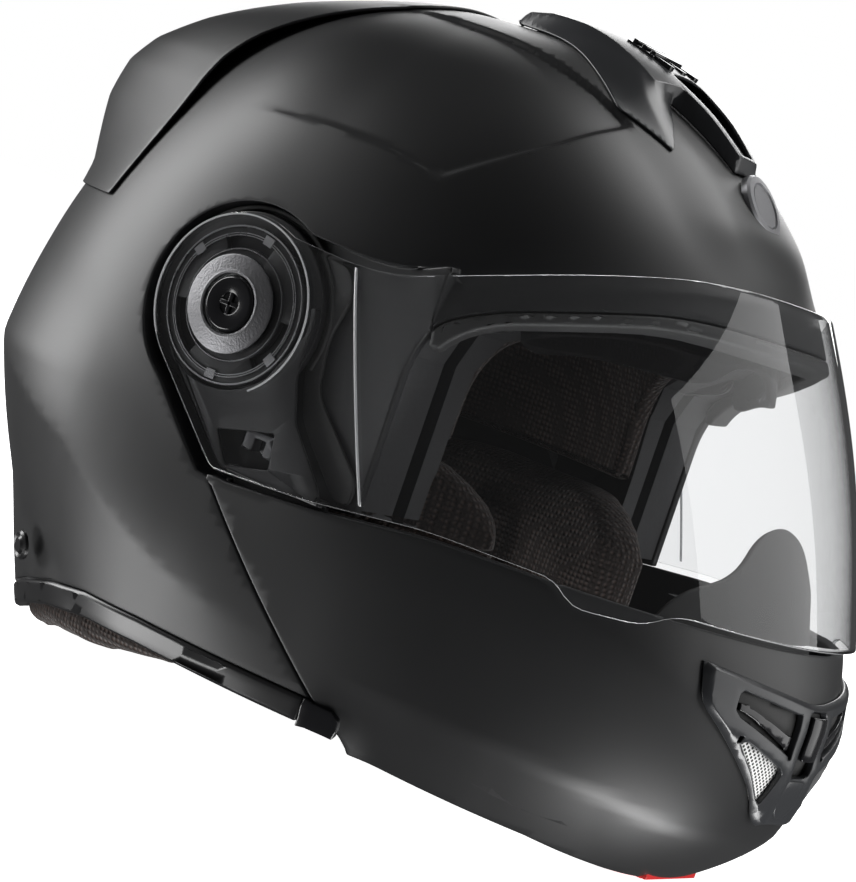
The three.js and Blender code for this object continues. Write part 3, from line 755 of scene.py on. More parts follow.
class HELMET_OT_shell(Piece):
    """Builds the outer shell with the visor's seats and the window for the eyes"""
    bl_idname = "helmet.shell"
    bl_label = "Shell"

    def build(self):
        bm = shell_surface()
        sink_recess(bm)
        remove(bm, side_view(eyeport_outline()))
        remove(bm, side_view(chin_outline()))
        remove(bm, below_rim(TRIM_HEIGHT + 0.4))
        finish("shell_outer", bm, "helmet", MATERIALS["matte_shell"], "matte_shell",
               ["outer_shell"], wall=wall_mm(), edge=sizes().edge / MM, even=False)
        ribs = plate([rounded([(-10, 161), (-34, 158), (-37, 148), (-33.5, 136), (-36, 118),
                               (-60, 96), (-60, 88), (-54, 88), (-34, 108), (-29, 122),
                               (-29, 140), (-20, 154)], 5)], *LAYER["seat"])
        merge(ribs, band(33.4, 31.8, -60, 200, LAYER["seat_ring"], 60))
        finish_pair("seat_ribs", ribs, "helmet", MATERIALS["seal_rubber"], "matte_shell", edge=0.5)


class HELMET_OT_trims(Piece):
    """Builds the bead round the neck, its end blocks and the seal of the eye window"""
    bl_idname = "helmet.trims"
    bl_label = "Trims"

    def build(self):
        bead = shell_surface(0.6, (-200, -64.5, -5), (200, 200, 34))
        remove(bead, below_rim(0.0))
        top = side_view([(-240, 400), (200, 400), *rim_line(TRIM_HEIGHT), (-240, 26.0)])
        remove(bead, top)
        finish("neck_bead", bead, "helmet", MATERIALS["satin_black"], "satin_black",
               ["bottom_trim"], wall=4.4, edge=1.4, segments=4)
        block = shell_surface(1.0, (20, -84, 8), (200, -58, 34))
        keep(block, side_view(rounded([(-64.5, 17.6), (-64.5, 26.3), (-77.6, 25.6),
                                       (-77.6, 17.2)], 1.2)))
        finish_pair("bead_end", block, "helmet", MATERIALS["gloss_black"], "gloss_black",
                    replaces=["trim_end"], wall=4.0, edge=0.5)
        seal = shell_surface(0.4, (-200, -200, 60), (200, -50, 200))
        keep(seal, side_view(eyeport_outline(0.4)))
        remove(seal, side_view(eyeport_outline(5.0)))
        narrow(seal, (-110.2, -200, 93), (110.2, 0, 240))
        finish("window_seal", seal, "helmet", MATERIALS["seal_rubber"], "seal_rubber",
               ["eyeport_gasket"], wall=9.0, edge=1.2, segments=4, even=False)


# ------------------------------------------------------------------ chin bar
def chin_bottom(gap=0.0):
    return [(-50, 15), (-60, 15), (-78, 13.5), (-98, 11), (-130, 7), (-152, 1.5), (-158, 0.2),
            (-240, 0.2), (-240, BASE - 40), (-50, BASE - 40)]


class HELMET_OT_chin_bar(Piece):
    """Builds the chin bar's shell and the arms that carry it"""
    bl_idname = "helmet.chin_bar"
    bl_label = "Chin bar"

    def build(self):
        bm = shell_surface(0.0, (-200, -230, BASE), (200, -4, 100))
        co = coords(bm)
        push(bm, chin_creases(co))
        keep(bm, side_view(chin_outline(0.6)))
        remove(bm, side_view(chin_bottom()))
        finish("chin_bar_outer", bm, "chin_bar", MATERIALS["matte_shell"], "matte_shell",
               ["chin_bar_shell"], wall=wall_mm(), edge=sizes().edge / MM)
        finish_pair("arm", self.arm(), "chin_bar", MATERIALS["satin_black"], "satin_black",
                    replaces=["chin_bar_arm"], edge=0.5)
        hook = plate([rounded([(-19, 93.6), (-23, 93.6), (-23, 98), (-27.4, 98), (-27.4, 93),
                               (-31, 93), (-30.4, 100.2), (-19, 100.2)], 0.8)],
                     *LAYER["hook"])
        finish_pair("hook", hook, "chin_bar", MATERIALS["dark_steel"], "steel",
                    replaces=["latch_hook"], edge=0.4)

    def arm(self):
        window = [(-9, 96.5), (-30, 101.5), (-32, 90), (-16, 86.5)]
        hub = plate([circle(31), circle(6, count=24)], *LAYER["hub"])
        seat = [(y, z, 0) for y, z in circle(27.2, count=24, start=222, end=318)]
        face = rounded(seat + [(-14, 85.6), (-54, 85), (-52, 90), (-36, 107), (-31, 121),
                               (-30.2, 136)], 2)
        merge(hub, band(30.8, 28.8, 165, 236, LAYER["skirt"], 16))
        merge(hub, plate([face, rounded(window, 1)], *LAYER["face"]))
        shelf = [(-16.5, 85), (-54, 85), (-54, 87.4), (-16.5, 87.4)]
        merge(hub, plate([shelf], *LAYER["shelf"]))
        foot = [(-21, 76), (-16, 87), (-54, 87), (-54, 62), (-37, 62)]
        return merge(hub, plate([foot], *LAYER["foot"]))


# ------------------------------------------------------------------ visor and pivots
BEND_WIDTH = 0.8


def bend_line(co):
    """Distance from the line where the visor's flat side turns into its curved front."""
    return ((co[:, 1] + 39.0) * 72.0 - (co[:, 2] - 160.0) * 30.0) / 78.0


class HELMET_OT_visor(Piece):
    """Builds the clear visor with its flat sides and lift tab, and pale strips that paint highlights on its edges
    and fold
    """
    bl_idname = "helmet.visor"
    bl_label = "Visor"

    def build(self):
        bm = self.surface()
        narrow(bm, (-200, -230, 78), (200, 36, 204))
        keep(bm, side_view(visor_outline()))
        remove(bm, lambda co: np.hypot(co[:, 1], co[:, 2] - PIVOT_Z) - 9.7)
        pane = finish("visor_clear", bm, "visor", MATERIALS["clear_visor"], "clear_visor",
                      ["visor"], wall=sizes().visor_wall / MM, edge=0.35, segments=2)
        # the pane's cut edges get the pale material: a painted highlight along them
        pane.data.materials.append(MATERIALS["visor_edge"])
        pane.modifiers["wall"].material_offset_rim = 1
        # a thin pale ring round the visor's round end: a painted highlight line
        rim = band(29.3, 28.8, -35, 235, LAYER["rim"])
        finish_pair("visor_rim_highlight", rim, "visor", MATERIALS["visor_edge"], "clear_visor")
        # a thin pale strip along the line where the flat side turns into the front: a painted highlight
        bend_highlight = self.surface()
        narrow(bend_highlight, (-200, -80, 90), (200, -30, 159))
        push(bend_highlight, np.full(len(bend_highlight.verts), 0.5))
        insert_line(bend_highlight, bend_line)
        insert_line(bend_highlight, lambda co: bend_line(co) - BEND_WIDTH, held=bend_line)
        outside = faces_inside(bend_highlight, lambda co: BEND_WIDTH / 2
                               - np.abs(bend_line(co) - BEND_WIDTH / 2))
        bmesh.ops.delete(bend_highlight, geom=outside, context="FACES")
        finish("visor_bend_highlight", bend_highlight, "visor", MATERIALS["visor_edge"], "clear_visor", wall=0.4)

    def surface(self):
        bm = visor_skin()
        co = coords(bm)
        gap = (np.abs(co[:, 0]) - VISOR_FLAT) / 1.6
        co[:, 0] = np.sign(co[:, 0]) * (VISOR_FLAT - 1.6 * np.logaddexp(0.0, -gap))
        set_coords(bm, co)
        return bm


class HELMET_OT_pivots(Piece):
    """Builds the gear plates, lock rings and screws of the two pivots"""
    bl_idname = "helmet.pivots"
    bl_label = "Pivots"

    def on_axis(self, bm, x):
        bmesh.ops.transform(bm, matrix=Matrix.Rotation(math.pi / 2, 4, "Y"), verts=bm.verts[:])
        bmesh.ops.translate(bm, verts=bm.verts[:], vec=(x, 0.0, PIVOT_Z))
        return bm

    def build(self):
        gear = self.gear()
        finish_pair("gear_plate", gear, "chin_bar", MATERIALS["satin_black"], "satin_black",
                    replaces=["visor_gear_plate"], edge=0.3, segments=2)
        hoops = band(25.7, 25.2, 0, 360, LAYER["hoop"])
        for outer in (23.3, 22.6, 18.2):
            merge(hoops, band(outer, outer - 0.3, 0, 360, LAYER["hoop"]))
        for angle in (30.0, 98.0, 208.0, 266.0):
            merge(hoops, band(24.6, 21.6, angle, angle + 9.0, LAYER["clip"], 6))
        finish_pair("gear_hoops", hoops, "chin_bar", MATERIALS["steel"], "satin_black")
        ring = self.on_axis(turned([(9.7, 0.0), (16.0, 0.0), (16.0, 0.6), (15.5, 0.9),
                                    (11.2, 1.0), (10.6, 1.3), (9.9, 1.2), (9.7, 0.8)], 96),
                            RING_SEAT)
        finish_pair("lock_ring", ring, "visor", MATERIALS["speckled"], "steel",
                    replaces=["visor_lock_ring"])
        finish_pair("screw", self.screw(), "helmet", MATERIALS["gloss_black"], "gloss_black",
                    replaces=["pivot_screw"], edge=0.25, segments=2)

    def gear(self):
        """A ring with ratchet teeth and two curved slots for the visor's clips."""
        outer = []
        for i in range(96):
            on_teeth = 20 < i < 40
            r = 26.0 - (1.1 if on_teeth and i % 2 else 0.0)
            outer.append(circle(r, count=1, start=i * 3.75, end=i * 3.75)[0])
        slots = []
        for start in (60.0, 180.0, 300.0):
            outer_arc = circle(22.5, count=12, start=start, end=start + 50.0)
            slots.append(outer_arc + circle(18.5, count=12, start=start, end=start + 50.0)[::-1])
        return plate([outer, circle(5.9, count=32), *slots], *LAYER["gear"])

    def screw(self):
        cap = turned([(0.0, 2.9), (3.4, 2.9), (3.6, 3.6), (8.2, 4.1), (9.0, 3.4), (9.0, 0.0),
                      (5.5, 0.0), (5.5, -8.4), (0.0, -8.4)], 64, closed=False)
        for x, y in ((3.7, 0.75), (0.75, 3.7)):
            merge(cap, box_between((-x, -y, 2.6), (x, y, 3.6)))
        return self.on_axis(cap, SCREW_SEAT)


# ------------------------------------------------------------------ vents
FRAME = both_sides([(0, 73, 8), (56, 80, 3), (55, 67, 3), (22, 41, 4), (13, 31, 4)])
MESH_WINDOW = [(13, 51, 2), (41, 60.5, 2.5), (17, 38, 2)]
LOUVRE = [(12, 69.5, 2), (43, 74, 2), (44, 66.5, 2), (28, 61, 3), (11.5, 55.5, 2)]
SLIDER_WINDOW = [(-7, 49, 2), (7, 49, 2), (7, 71, 2), (-7, 71, 2)]
FOLD = [(56, 66), (10, 52), (10, 20), (60, 20)]


def chin_surface(grow):
    bm = shell_surface(grow, (-75, -230, 20), (75, -100, 96), 160, 400)
    push(bm, chin_creases(coords(bm)))
    return bm


class HELMET_OT_chin_vent(Piece):
    """Builds the vent in the chin bar, with its two meshes and the slider"""
    bl_idname = "helmet.chin_vent"
    bl_label = "Chin vent"

    def build(self):
        outline = front_view(rounded(FRAME))
        windows, louvres = [], []
        for s in (-1, 1):
            windows.append(front_view(rounded([(s * x, z, r) for x, z, r in MESH_WINDOW])))
            louvres.append(front_view(rounded([(s * x, z, r) for x, z, r in LOUVRE])))
        slide = front_view(rounded(SLIDER_WINDOW))
        bm = chin_surface(1.0)
        keep(bm, outline)
        insert_line(bm, lambda co: outline(co) + 2.0)
        for window in (*windows, *louvres, slide):
            remove(bm, window)
        co = coords(bm)
        mirror = np.stack([np.abs(co[:, 0]), co[:, 2]], axis=1)
        fold = np.abs(signed_distance(mirror, FOLD))
        push(bm, 1.9 * np.clip(-outline(co) / 2.0, 0.0, 1.0) + 0.9 * (1 - smooth_step(fold / 6)))
        finish("chin_vent_surround", bm, "chin_bar", MATERIALS["vent_satin"], "gloss_black",
               ["chin_vent_frame"], wall=2.4, edge=0.4)
        for side, window in zip(("right", "left"), windows):
            net = chin_surface(0.9)
            keep(net, lambda co: window(co) - 1.0)
            finish(f"chin_net_{side}", net, "chin_bar", MATERIALS["perforated"], "steel",
                   [f"chin_vent_mesh_{side}"], wall=0.7)
        back = chin_surface(0.3)
        keep(back, lambda co: np.minimum(slide(co), np.minimum(louvres[0](co), louvres[1](co)))
             - 1.2)
        finish("chin_vent_well", back, "chin_bar", MATERIALS["seal_rubber"], "gloss_black",
               wall=0.6)
        for s in (-1, 1):
            slat = [(s * 14, 62, 1), (s * 42, 70.5, 1), (s * 42, 68, 1), (s * 14, 57.5, 1)]
            vane = chin_surface(2.0)
            keep(vane, front_view(rounded(slat)))
            finish(f"chin_vane_{s + 2}", vane, "chin_bar", MATERIALS["gloss_black"],
                   "gloss_black", wall=1.6, edge=0.4)
        grip = chin_surface(4.6)
        keep(grip, front_view(rounded(both_sides([(5.8, 55), (5.8, 70)]), 1.5)))
        co = coords(grip)
        push(grip, -0.05 * np.abs(co[:, 0]) ** 1.6)
        finish("chin_vent_grip", grip, "chin_vent_slider", MATERIALS["gloss_black"],
               "gloss_black", ["chin_vent_slider"], wall=2.6, edge=0.7)
        keel = chin_surface(3.4)
        keep(keel, front_view(rounded(both_sides([(7, 48), (9, 40), (4, 34)]), 2)))
        finish("chin_vent_keel", keel, "chin_bar", MATERIALS["vent_satin"], "gloss_black",
               wall=2.0, edge=0.7)


VENT = both_sides([(14, -2, 0), (44, -67, 2), (37, -88, 1), (16, -69, 2), (9, -97, 1)])
VENT_TOP = both_sides([(12, -4), (25, -65), (13, -69), (7, -94)])
INTAKE = both_sides([(4, -93, 1), (11, -62, 2)])
VENT_EDGE = 0.2


def vent_ridge(co):
    """Distance from the line that joins the vent's top to the tip of its prong."""
    return ((np.abs(co[:, 0]) - 25.0) * 23.0 + (co[:, 1] + 65.0) * 12.0) / 26.0


class HELMET_OT_top_vent(Piece):
    """Builds the vent on the crown, with its intake and slider"""
    bl_idname = "helmet.top_vent"
    bl_label = "Top vent"

    def build(self):
        outline = top_view(rounded(VENT))
        intake = top_view(rounded(INTAKE))
        bm = shell_surface(0.6, (-60, -120, 180), (60, 10, 300), 170, 480)
        keep(bm, outline)
        top = top_view(VENT_TOP)
        insert_line(bm, top)
        remove(bm, intake)
        insert_line(bm, vent_ridge)
        bmesh.ops.dissolve_degenerate(bm, dist=0.12, edges=bm.edges[:])
        co = coords(bm)
        height = np.interp(-co[:, 1], [3, 15, 30, 60, 80, 97], [5.0, 7.4, 8.0, 7.6, 6.2, 4.0])
        height *= 1.0 - 0.3 * (co[:, 0] / 25.0) ** 2
        rise = np.clip(-outline(co), 0.0, None)
        share = rise / (rise + np.clip(top(co), 0.0, None) + 1e-6)
        push(bm, VENT_EDGE + (height - VENT_EDGE) * share)
        finish("top_vent_shield", bm, "helmet", MATERIALS["vent_satin"], "gloss_black",
               ["top_vent_cover"], wall=1.0, edge=0.25, segments=2, sharp=16.0, even=False)
        net = shell_surface(3.6, (-20, -110, 180), (20, -50, 300), 170, 480)
        keep(net, lambda co: intake(co) - 0.6)
        finish("top_vent_net", net, "helmet", MATERIALS["steel_mesh"], "satin_black",
               ["top_vent_grille"], wall=0.9)
        grip = box_between((-12.5, -6.0, -1.2), (12.5, 6.0, 1.2))
        for y in (-4.0, 0.0, 4.0):
            merge(grip, box_between((-10.5, y - 1.1, 0.9), (10.5, y + 1.1, 2.6)))
        for x in (-9.5, 0.0, 9.5):
            merge(grip, box_between((x - 1.6, -13.0, -0.6), (x + 1.6, -4.0, 1.6)))
        bmesh.ops.rotate(grip, matrix=Matrix.Rotation(math.radians(15.0), 3, "X"),
                         verts=grip.verts[:])
        bmesh.ops.translate(grip, vec=(0.0, -50.0, 257.2), verts=grip.verts[:])
        finish("top_vent_grip", grip, "top_vent_slider", MATERIALS["gloss_black"],
               "gloss_black", ["top_vent_slider"], edge=0.4)


SPOILER = both_sides([(34, 14, 12), (104, 64, 14), (104, 180)])


class HELMET_OT_spoiler(Piece):
    """Builds the spoiler at the back of the crown"""
    bl_idname = "helmet.spoiler"
    bl_label = "Spoiler"

    def build(self):
        bm = shell_surface(1.3, (-120, 10, 148), (120, 230, 300), 150, 360)
        keep(bm, lambda co: np.maximum(signed_distance(co[:, :2], rounded(SPOILER)),
                                       154.0 - co[:, 2]))
        co = coords(bm)
        lift = np.interp(co[:, 2], [155, 162, 172, 186, 200, 210, 222, 238, 252],
                         [0, 2, 9, 19, 26, 27, 23, 15, 4])
        lift *= smooth_step((108.0 - np.abs(co[:, 0])) / 50.0)
        lift *= smooth_step((co[:, 1] - 14.0) / 56.0)
        co[:, 1] += lift
        set_coords(bm, co)
        finish("spoiler", bm, "helmet", MATERIALS["matte_shell"], "matte_shell",
               ["rear_spoiler"], wall=1.1, edge=0.4, even=False)


# ------------------------------------------------------------------ small fittings
BADGE_SEAT = Vector((0.0, -106.3, 219.9))


def on_shell(y, z):
    """The point of the left side at (y, z) and the outward direction there."""
    def side_x(y, z):
        reach = front_reach(z) if y < 0 else rear_reach(z)
        return float(half_width(z) * arch(abs(y) / reach, 2.1, 2.2))
    x = side_x(y, z)
    slope_y = (side_x(y + 1, z) - side_x(y - 1, z)) / 2
    slope_z = (side_x(y, z + 1) - side_x(y, z - 1)) / 2
    return Vector((x, y, z)), Vector((1.0, -slope_y, -slope_z)).normalized()


class HELMET_OT_fittings(Piece):
    """Builds the plain round badge at the brow and the snaps at the back"""
    bl_idname = "helmet.fittings"
    bl_label = "Badge and snaps"

    def build(self):
        facing = Vector((0.0, -0.80, 0.60))
        disc = aim(turned([(0.0, 1.7), (7.3, 1.6), (7.6, 1.2), (8.0, 1.2), (8.4, 1.9),
                           (10.6, 1.7), (11.4, 0.9), (11.4, -1.2), (0.0, -1.2)], 72,
                          closed=False),
                   BADGE_SEAT, facing)
        finish("badge", disc, "helmet", MATERIALS["badge_grey"], "badge_grey", ["emblem_badge"])
        for side in ("left", "right"):
            low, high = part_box(f"rear_snap_{side}")
            place = (low + high) / 2 / MM
            place.y -= PIVOT.y / MM
            _, out = on_shell(place.y, place.z)
            out.x = math.copysign(out.x, place.x)
            snap = aim(turned([(0.0, 1.4), (2.4, 1.2), (3.2, 0.4), (4.2, 0.9), (5.0, 0.2),
                               (5.0, -0.9), (0.0, -0.9)], 48, closed=False), place, out)
            finish(f"snap_{side}", snap, "helmet", MATERIALS["satin_black"], "satin_black",
                   [f"rear_snap_{side}"])


class HELMET_OT_sun_visor(Piece):
    """Builds the smoked inner visor, its arms and the lever that drops it"""
    bl_idname = "helmet.sun_visor"
    bl_label = "Sun visor"

    def build(self):
        bm = bmesh.new()
        bmesh.ops.create_icosphere(bm, subdivisions=6, radius=1.0)
        bmesh.ops.rotate(bm, matrix=Matrix.Rotation(math.pi / 2, 3, "Y"), verts=bm.verts[:])
        co = coords(bm) * (LENS["half_length"], LENS["radius"], LENS["radius"])
        co[:, 2] += PIVOT_Z
        set_coords(bm, co)
        plan = rounded(both_sides([(12, 168, 10), (26, 159, 12), (70, 156, 8), (84, 150, 6),
                                   (84, 176, 6), (64, 200, 14), (30, 213, 14)]))
        keep(bm, front_view(plan))
        finish("sun_lens", bm, "sun_visor", MATERIALS["smoke_visor"], "smoke_visor",
               ["sun_visor"], wall=LENS["wall"], edge=0.3, segments=2)
        arm = plate([rounded([(8, 127, 6), (8, 143, 6), (-66, 174, 6), (-80, 166, 6),
                              (-80, 156, 6)])], *LAYER["sun_arm"])
        finish_pair("sun_visor_arm", arm, "sun_visor", MATERIALS["satin_black"], "smoke_visor",
                    edge=0.5)
        grip = plate([rounded([(-57.6, 9), (-46.4, 9), (-46.4, 12.2), (-57.6, 12.2)], 1)],
                     *LAYER["lever"])
        stem = [(-56, 11.5), (-48, 11.5), (-48, 17), (-56, 17)]
        merge(grip, plate([stem], *LAYER["lever_stem"]))
        finish("sun_lever", grip, "sun_visor_lever", MATERIALS["satin_black"], "satin_black",
               ["sun_visor_lever"], edge=0.6)


# ------------------------------------------------------------------ lining
def bake(obj):
    """Replaces the object's mesh with what its modifiers make of it now."""
    graph = bpy.context.evaluated_depsgraph_get()
    mesh = bpy.data.meshes.new_from_object(obj.evaluated_get(graph))
    obj.modifiers.clear()
    obj.data = mesh


def vertices(mesh):
    co = np.empty(len(mesh.vertices) * 3)
    mesh.vertices.foreach_get("co", co)
    return co.reshape(-1, 3)


def stuff(obj, voxel=4.5, pressure=4.0, most=5.0):
    """Fills a pad by a short cloth simulation; no point moves further than the limit."""
    even = obj.modifiers.new("even", "REMESH")
    even.mode, even.voxel_size, even.use_smooth_shade = "VOXEL", voxel * MM, True
    bake(obj)
    before = vertices(obj.data)
    cloth = obj.modifiers.new("cloth", "CLOTH")
    cloth.settings.quality = 6
    cloth.settings.mass = 0.2
    cloth.settings.tension_stiffness = cloth.settings.compression_stiffness = 14.0
    cloth.settings.bending_stiffness = 2.0
    cloth.settings.use_pressure = True
    cloth.settings.uniform_pressure_force = pressure
    cloth.settings.effector_weights.gravity = 0.0
    cloth.point_cache.frame_end = 20
    for number in range(1, 21):
        bpy.context.scene.frame_set(number)
    bake(obj)
    bpy.context.scene.frame_set(1)
    move = vertices(obj.data) - before
    length = np.maximum(np.linalg.norm(move, axis=1, keepdims=True), 1e-9)
    move *= np.minimum(1.0, most * MM / length)
    obj.data.vertices.foreach_set("co", (before + move).ravel())
    smooth = obj.modifiers.new("smooth", "SUBSURF")
    smooth.levels = smooth.render_levels = 1


class HELMET_OT_lining(Piece):
    """Builds the crown liner, the cheek pads and the neck roll"""
    bl_idname = "helmet.lining"
    bl_label = "Lining"

    def head_skin(self, grow):
        return skin(head_section, HEAD["top"], -40.0, 150, 220, 1.0, grow)

    def build(self):
        cloth = MATERIALS["lining"]
        cap = self.head_skin(-0.6)
        remove(cap, lambda co: co[:, 2] - 114.5)
        remove(cap, side_view(eyeport_outline(-1.0)))
        finish("crown_pad", cap, "helmet", cloth, "lining", ["crown_liner"], wall=7.0, edge=2.4,
               segments=4)
        outline = rounded([(-84, 52, 8), (-70, 30, 10), (-40, 25.8, 10), (20, 26.2, 8), (34, 34, 8),
                           (40, 70, 12), (34, 104, 8), (0, 110, 8), (-62, 110, 10), (-84, 96, 10)])
        pad = self.head_skin(-0.8)
        narrow(pad, (46, -90, 20), (100, 50, 116))
        keep(pad, side_view(outline))
        right, left = finish_pair("cheek", pad, "helmet", cloth, "lining",
                                  replaces=["cheek_pad"], wall=sizes().pad / MM, edge=6.0,
                                  segments=5)
        for cheek in (right, left):
            stuff(cheek)
        roll = shell_skin(grow=-7.0)
        narrow(roll, (-200, -22, -12), (200, 200, 40))
        remove(roll, side_view([(-240, 400), (200, 400), *rim_line(3.6), (-240, 21.0)]))
        remove(roll, lambda co: co[:, 2] - np.interp(
            co[:, 1], [-22, -3, 26, 50, 88], [19.0, 15.5, 10.5, 8.5, 1.0]))
        stuff(finish("neck_pad", roll, "helmet", cloth, "lining", ["neck_roll"], wall=13.0,
                     edge=4.0, segments=5), most=2.0)


class HELMET_OT_guard(Piece):
    """Builds the breath guard behind the visor's lower edge"""
    bl_idname = "helmet.guard"
    bl_label = "Breath guard"

    def build(self):
        bm = visor_skin(-15.7)
        hill = rounded(both_sides([(0, 124, 8), (18, 119, 8), (30, 106, 10), (52, 96, 8),
                                   (62, 80, 2)]))
        keep(bm, front_view(hill))
        finish("nose_guard", bm, "chin_bar", MATERIALS["seal_rubber"], "seal_rubber",
               ["breath_guard"], wall=2.2, edge=0.7)


class HELMET_OT_release(Piece):
    """Builds the ribbed button under the chin that unlatches the chin bar"""
    bl_idname = "helmet.release"
    bl_label = "Release button"

    def build(self):
        bm = box_between((-19.0, -156.0, 1.6), (19.0, -142.0, 7.6))
        for x in range(-15, 16, 5):
            merge(bm, box_between((x - 0.9, -153.0, 0.8), (x + 0.9, -145.0, 2.2)))
        finish("release_pad", bm, "release_button", MATERIALS["release_red"], "release_red",
               ["release_button"], edge=0.5, segments=2)


class HELMET_OT_kept(Piece):
    """Gives the carried-over frame pieces their procedural materials"""
    bl_idname = "helmet.kept"
    bl_label = "Carried-over pieces"

    def build(self):
        record = {part["node"]: part["material_slot"] for part in frame["record"]["subparts"]}
        for name, obj in frame["nodes"].items():
            material = MATERIALS[record[name]]
            obj.data.materials.clear()
            obj.data.materials.append(material)


# ------------------------------------------------------------------ stage
FLOOR_SIZE = 4.0
FLOOR_GAP = 0.0004


def area(name, place, target, size, power):
    lamp = bpy.data.lights.new(name, "AREA")
    lamp.shape, lamp.size, lamp.size_y = "RECTANGLE", size[0], size[1]
    lamp.energy = power
    obj = bpy.data.objects.new(name, lamp)
    obj.location = place
    obj.rotation_euler = (Vector(target) - Vector(place)).to_track_quat("-Z", "Y").to_euler()
    obj.visible_camera = obj.visible_transmission = False
    bpy.context.scene.collection.objects.link(obj)


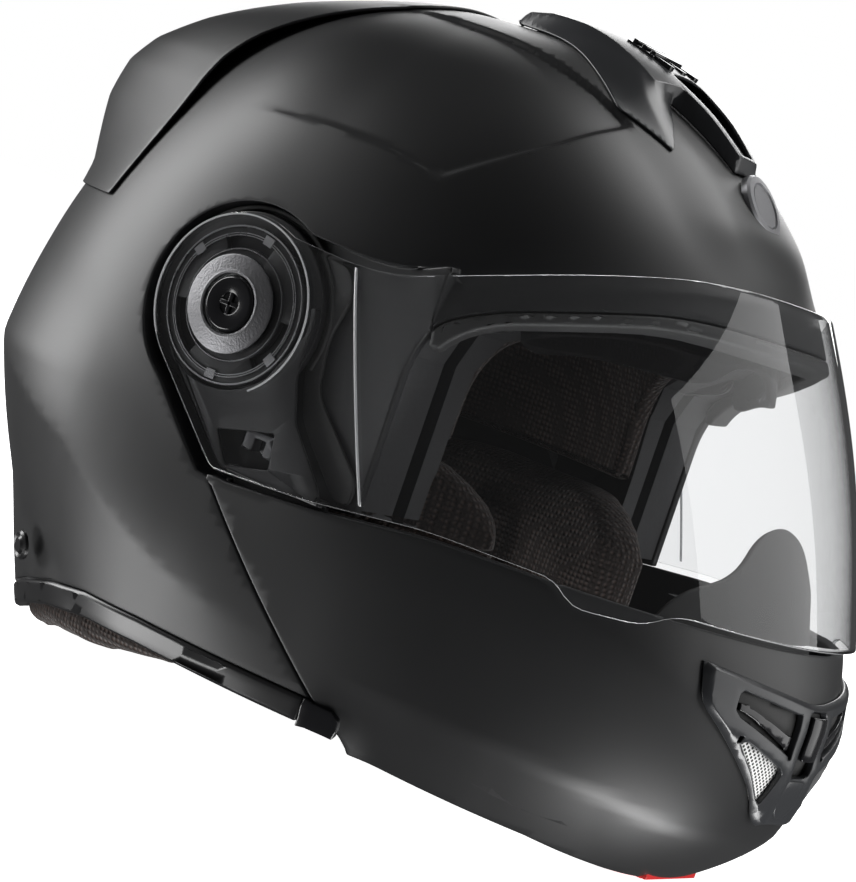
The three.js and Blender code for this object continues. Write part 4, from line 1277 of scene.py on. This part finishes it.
class HELMET_OT_stage(bpy.types.Operator):
    """Sets the camera, the lamps and the white surroundings"""
    bl_idname = "helmet.stage"
    bl_label = "Stage"

    def execute(self, context):
        self.world(context.scene)
        self.floor()
        self.lamps()
        self.camera(context.scene)
        context.scene.view_settings.view_transform = "Standard"
        return {"FINISHED"}

    def world(self, scene):
        world = bpy.data.worlds.new("surroundings")
        scene.world = world
        world.use_nodes = True
        nodes, links = world.node_tree.nodes, world.node_tree.links
        path = nodes.new("ShaderNodeLightPath")
        white = nodes.new("ShaderNodeBackground")
        mix = nodes.new("ShaderNodeMixShader")
        bounces = nodes.new("ShaderNodeMath")
        first = nodes.new("ShaderNodeMath")
        through = nodes.new("ShaderNodeMath")
        seen = nodes.new("ShaderNodeMath")
        first.operation, through.operation, seen.operation = "LESS_THAN", "MULTIPLY", "MAXIMUM"
        first.inputs[1].default_value = 0.5
        nodes["Background"].inputs["Color"].default_value = (0.55, 0.55, 0.56, 1.0)
        nodes["Background"].inputs["Strength"].default_value = 0.12
        white.inputs["Color"].default_value = (1.0, 1.0, 1.0, 1.0)
        links.new(path.outputs["Is Camera Ray"], seen.inputs[0])
        links.new(path.outputs["Diffuse Depth"], bounces.inputs[0])
        links.new(path.outputs["Glossy Depth"], bounces.inputs[1])
        links.new(bounces.outputs["Value"], first.inputs[0])
        links.new(path.outputs["Is Transmission Ray"], through.inputs[0])
        links.new(first.outputs["Value"], through.inputs[1])
        links.new(through.outputs["Value"], seen.inputs[1])
        links.new(seen.outputs["Value"], mix.inputs["Fac"])
        links.new(nodes["Background"].outputs["Background"], mix.inputs[1])
        links.new(white.outputs["Background"], mix.inputs[2])
        links.new(mix.outputs["Shader"], nodes["World Output"].inputs["Surface"])

    def floor(self):
        """A plain white floor that neither lights nor shades the helmet."""
        bm = bmesh.new()
        bmesh.ops.create_grid(bm, x_segments=1, y_segments=1, size=FLOOR_SIZE)
        bmesh.ops.translate(bm, verts=bm.verts[:], vec=(0.0, 0.0, -FLOOR_GAP))
        mesh = bpy.data.meshes.new("floor")
        bm.to_mesh(mesh)
        bm.free()
        paint = surface("floor_paint", (0.85, 0.85, 0.85), 0.8)
        shader = paint.node_tree.nodes["Principled BSDF"]
        shader.inputs["Emission Color"].default_value = (1.0, 1.0, 1.0, 1.0)
        shader.inputs["Emission Strength"].default_value = 1.0
        mesh.materials.append(paint)
        obj = bpy.data.objects.new("floor", mesh)
        obj.visible_diffuse = obj.visible_glossy = False
        obj.visible_transmission = obj.visible_shadow = False
        bpy.context.scene.collection.objects.link(obj)

    def lamps(self):
        middle = (0.0, 0.0, 0.13)
        area("front_card", (0.50, -1.05, 0.42), middle, (1.4, 1.2), 10.0)
        area("high_front", (0.75, -0.35, 1.5), middle, (0.8, 0.8), 11.0)
        area("right_rear", (1.25, 0.55, 0.75), middle, (1.0, 0.8), 10.0)
        area("rear_rim", (-0.45, 1.35, 0.55), middle, (0.6, 1.5), 28.0)
        area("low_left", (-0.95, 0.95, -0.8), middle, (0.8, 0.7), 16.0)
        area("low_front", (0.0, -1.0, -1.0), middle, (0.9, 0.6), 26.0)

    def camera(self, scene):
        data = bpy.data.cameras.new("camera")
        data.lens, data.sensor_width = 127.96, 36.0
        data.clip_end = 20.0
        obj = bpy.data.objects.new("camera", data)
        back = Vector((-0.864, -0.499, 0.070)).normalized()
        across = Vector((0.5, -0.866, 0.0)).normalized()
        up = back.cross(across).normalized()
        roll = math.radians(19.0)
        right = across * math.cos(roll) + up * math.sin(roll)
        above = up * math.cos(roll) - across * math.sin(roll)
        target = Vector((4.93, -11.77, 106.9)) * MM + Vector((0.0, PIVOT.y, 0.0))
        place = target + back * 1.1
        turn = Matrix((right, above, back)).transposed().to_4x4()
        obj.matrix_world = Matrix.Translation(place) @ turn
        scene.collection.objects.link(obj)
        scene.camera = obj


PIECES = (HELMET_OT_shell, HELMET_OT_trims, HELMET_OT_chin_bar, HELMET_OT_visor, HELMET_OT_pivots,
          HELMET_OT_chin_vent, HELMET_OT_top_vent, HELMET_OT_spoiler, HELMET_OT_fittings,
          HELMET_OT_sun_visor, HELMET_OT_lining, HELMET_OT_guard, HELMET_OT_release,
          HELMET_OT_kept, HELMET_OT_stage)


class HELMET_PT_sidebar(bpy.types.Panel):
    """Lists the settings and the operators"""
    bl_label = "Helmet"
    bl_space_type = "VIEW_3D"
    bl_region_type = "UI"
    bl_category = "Helmet"

    def draw(self, context):
        for settings in (context.scene.helmet_sizes, context.scene.helmet_colours):
            for label in settings.__annotations__:
                self.layout.prop(settings, label)
        for piece in PIECES:
            self.layout.operator(piece.bl_idname)


CLASSES = (HelmetSizes, HelmetColours, *PIECES, HELMET_PT_sidebar)


def register():
    for cls in CLASSES:
        bpy.utils.register_class(cls)
    bpy.types.Scene.helmet_sizes = bpy.props.PointerProperty(type=HelmetSizes)
    bpy.types.Scene.helmet_colours = bpy.props.PointerProperty(type=HelmetColours)


def unregister():
    del bpy.types.Scene.helmet_colours
    del bpy.types.Scene.helmet_sizes
    for cls in reversed(CLASSES):
        bpy.utils.unregister_class(cls)


def main():
    register()
    for piece in PIECES:
        getattr(bpy.ops.helmet, piece.bl_idname.split(".")[1])()


if __name__ == "__main__":
    main()
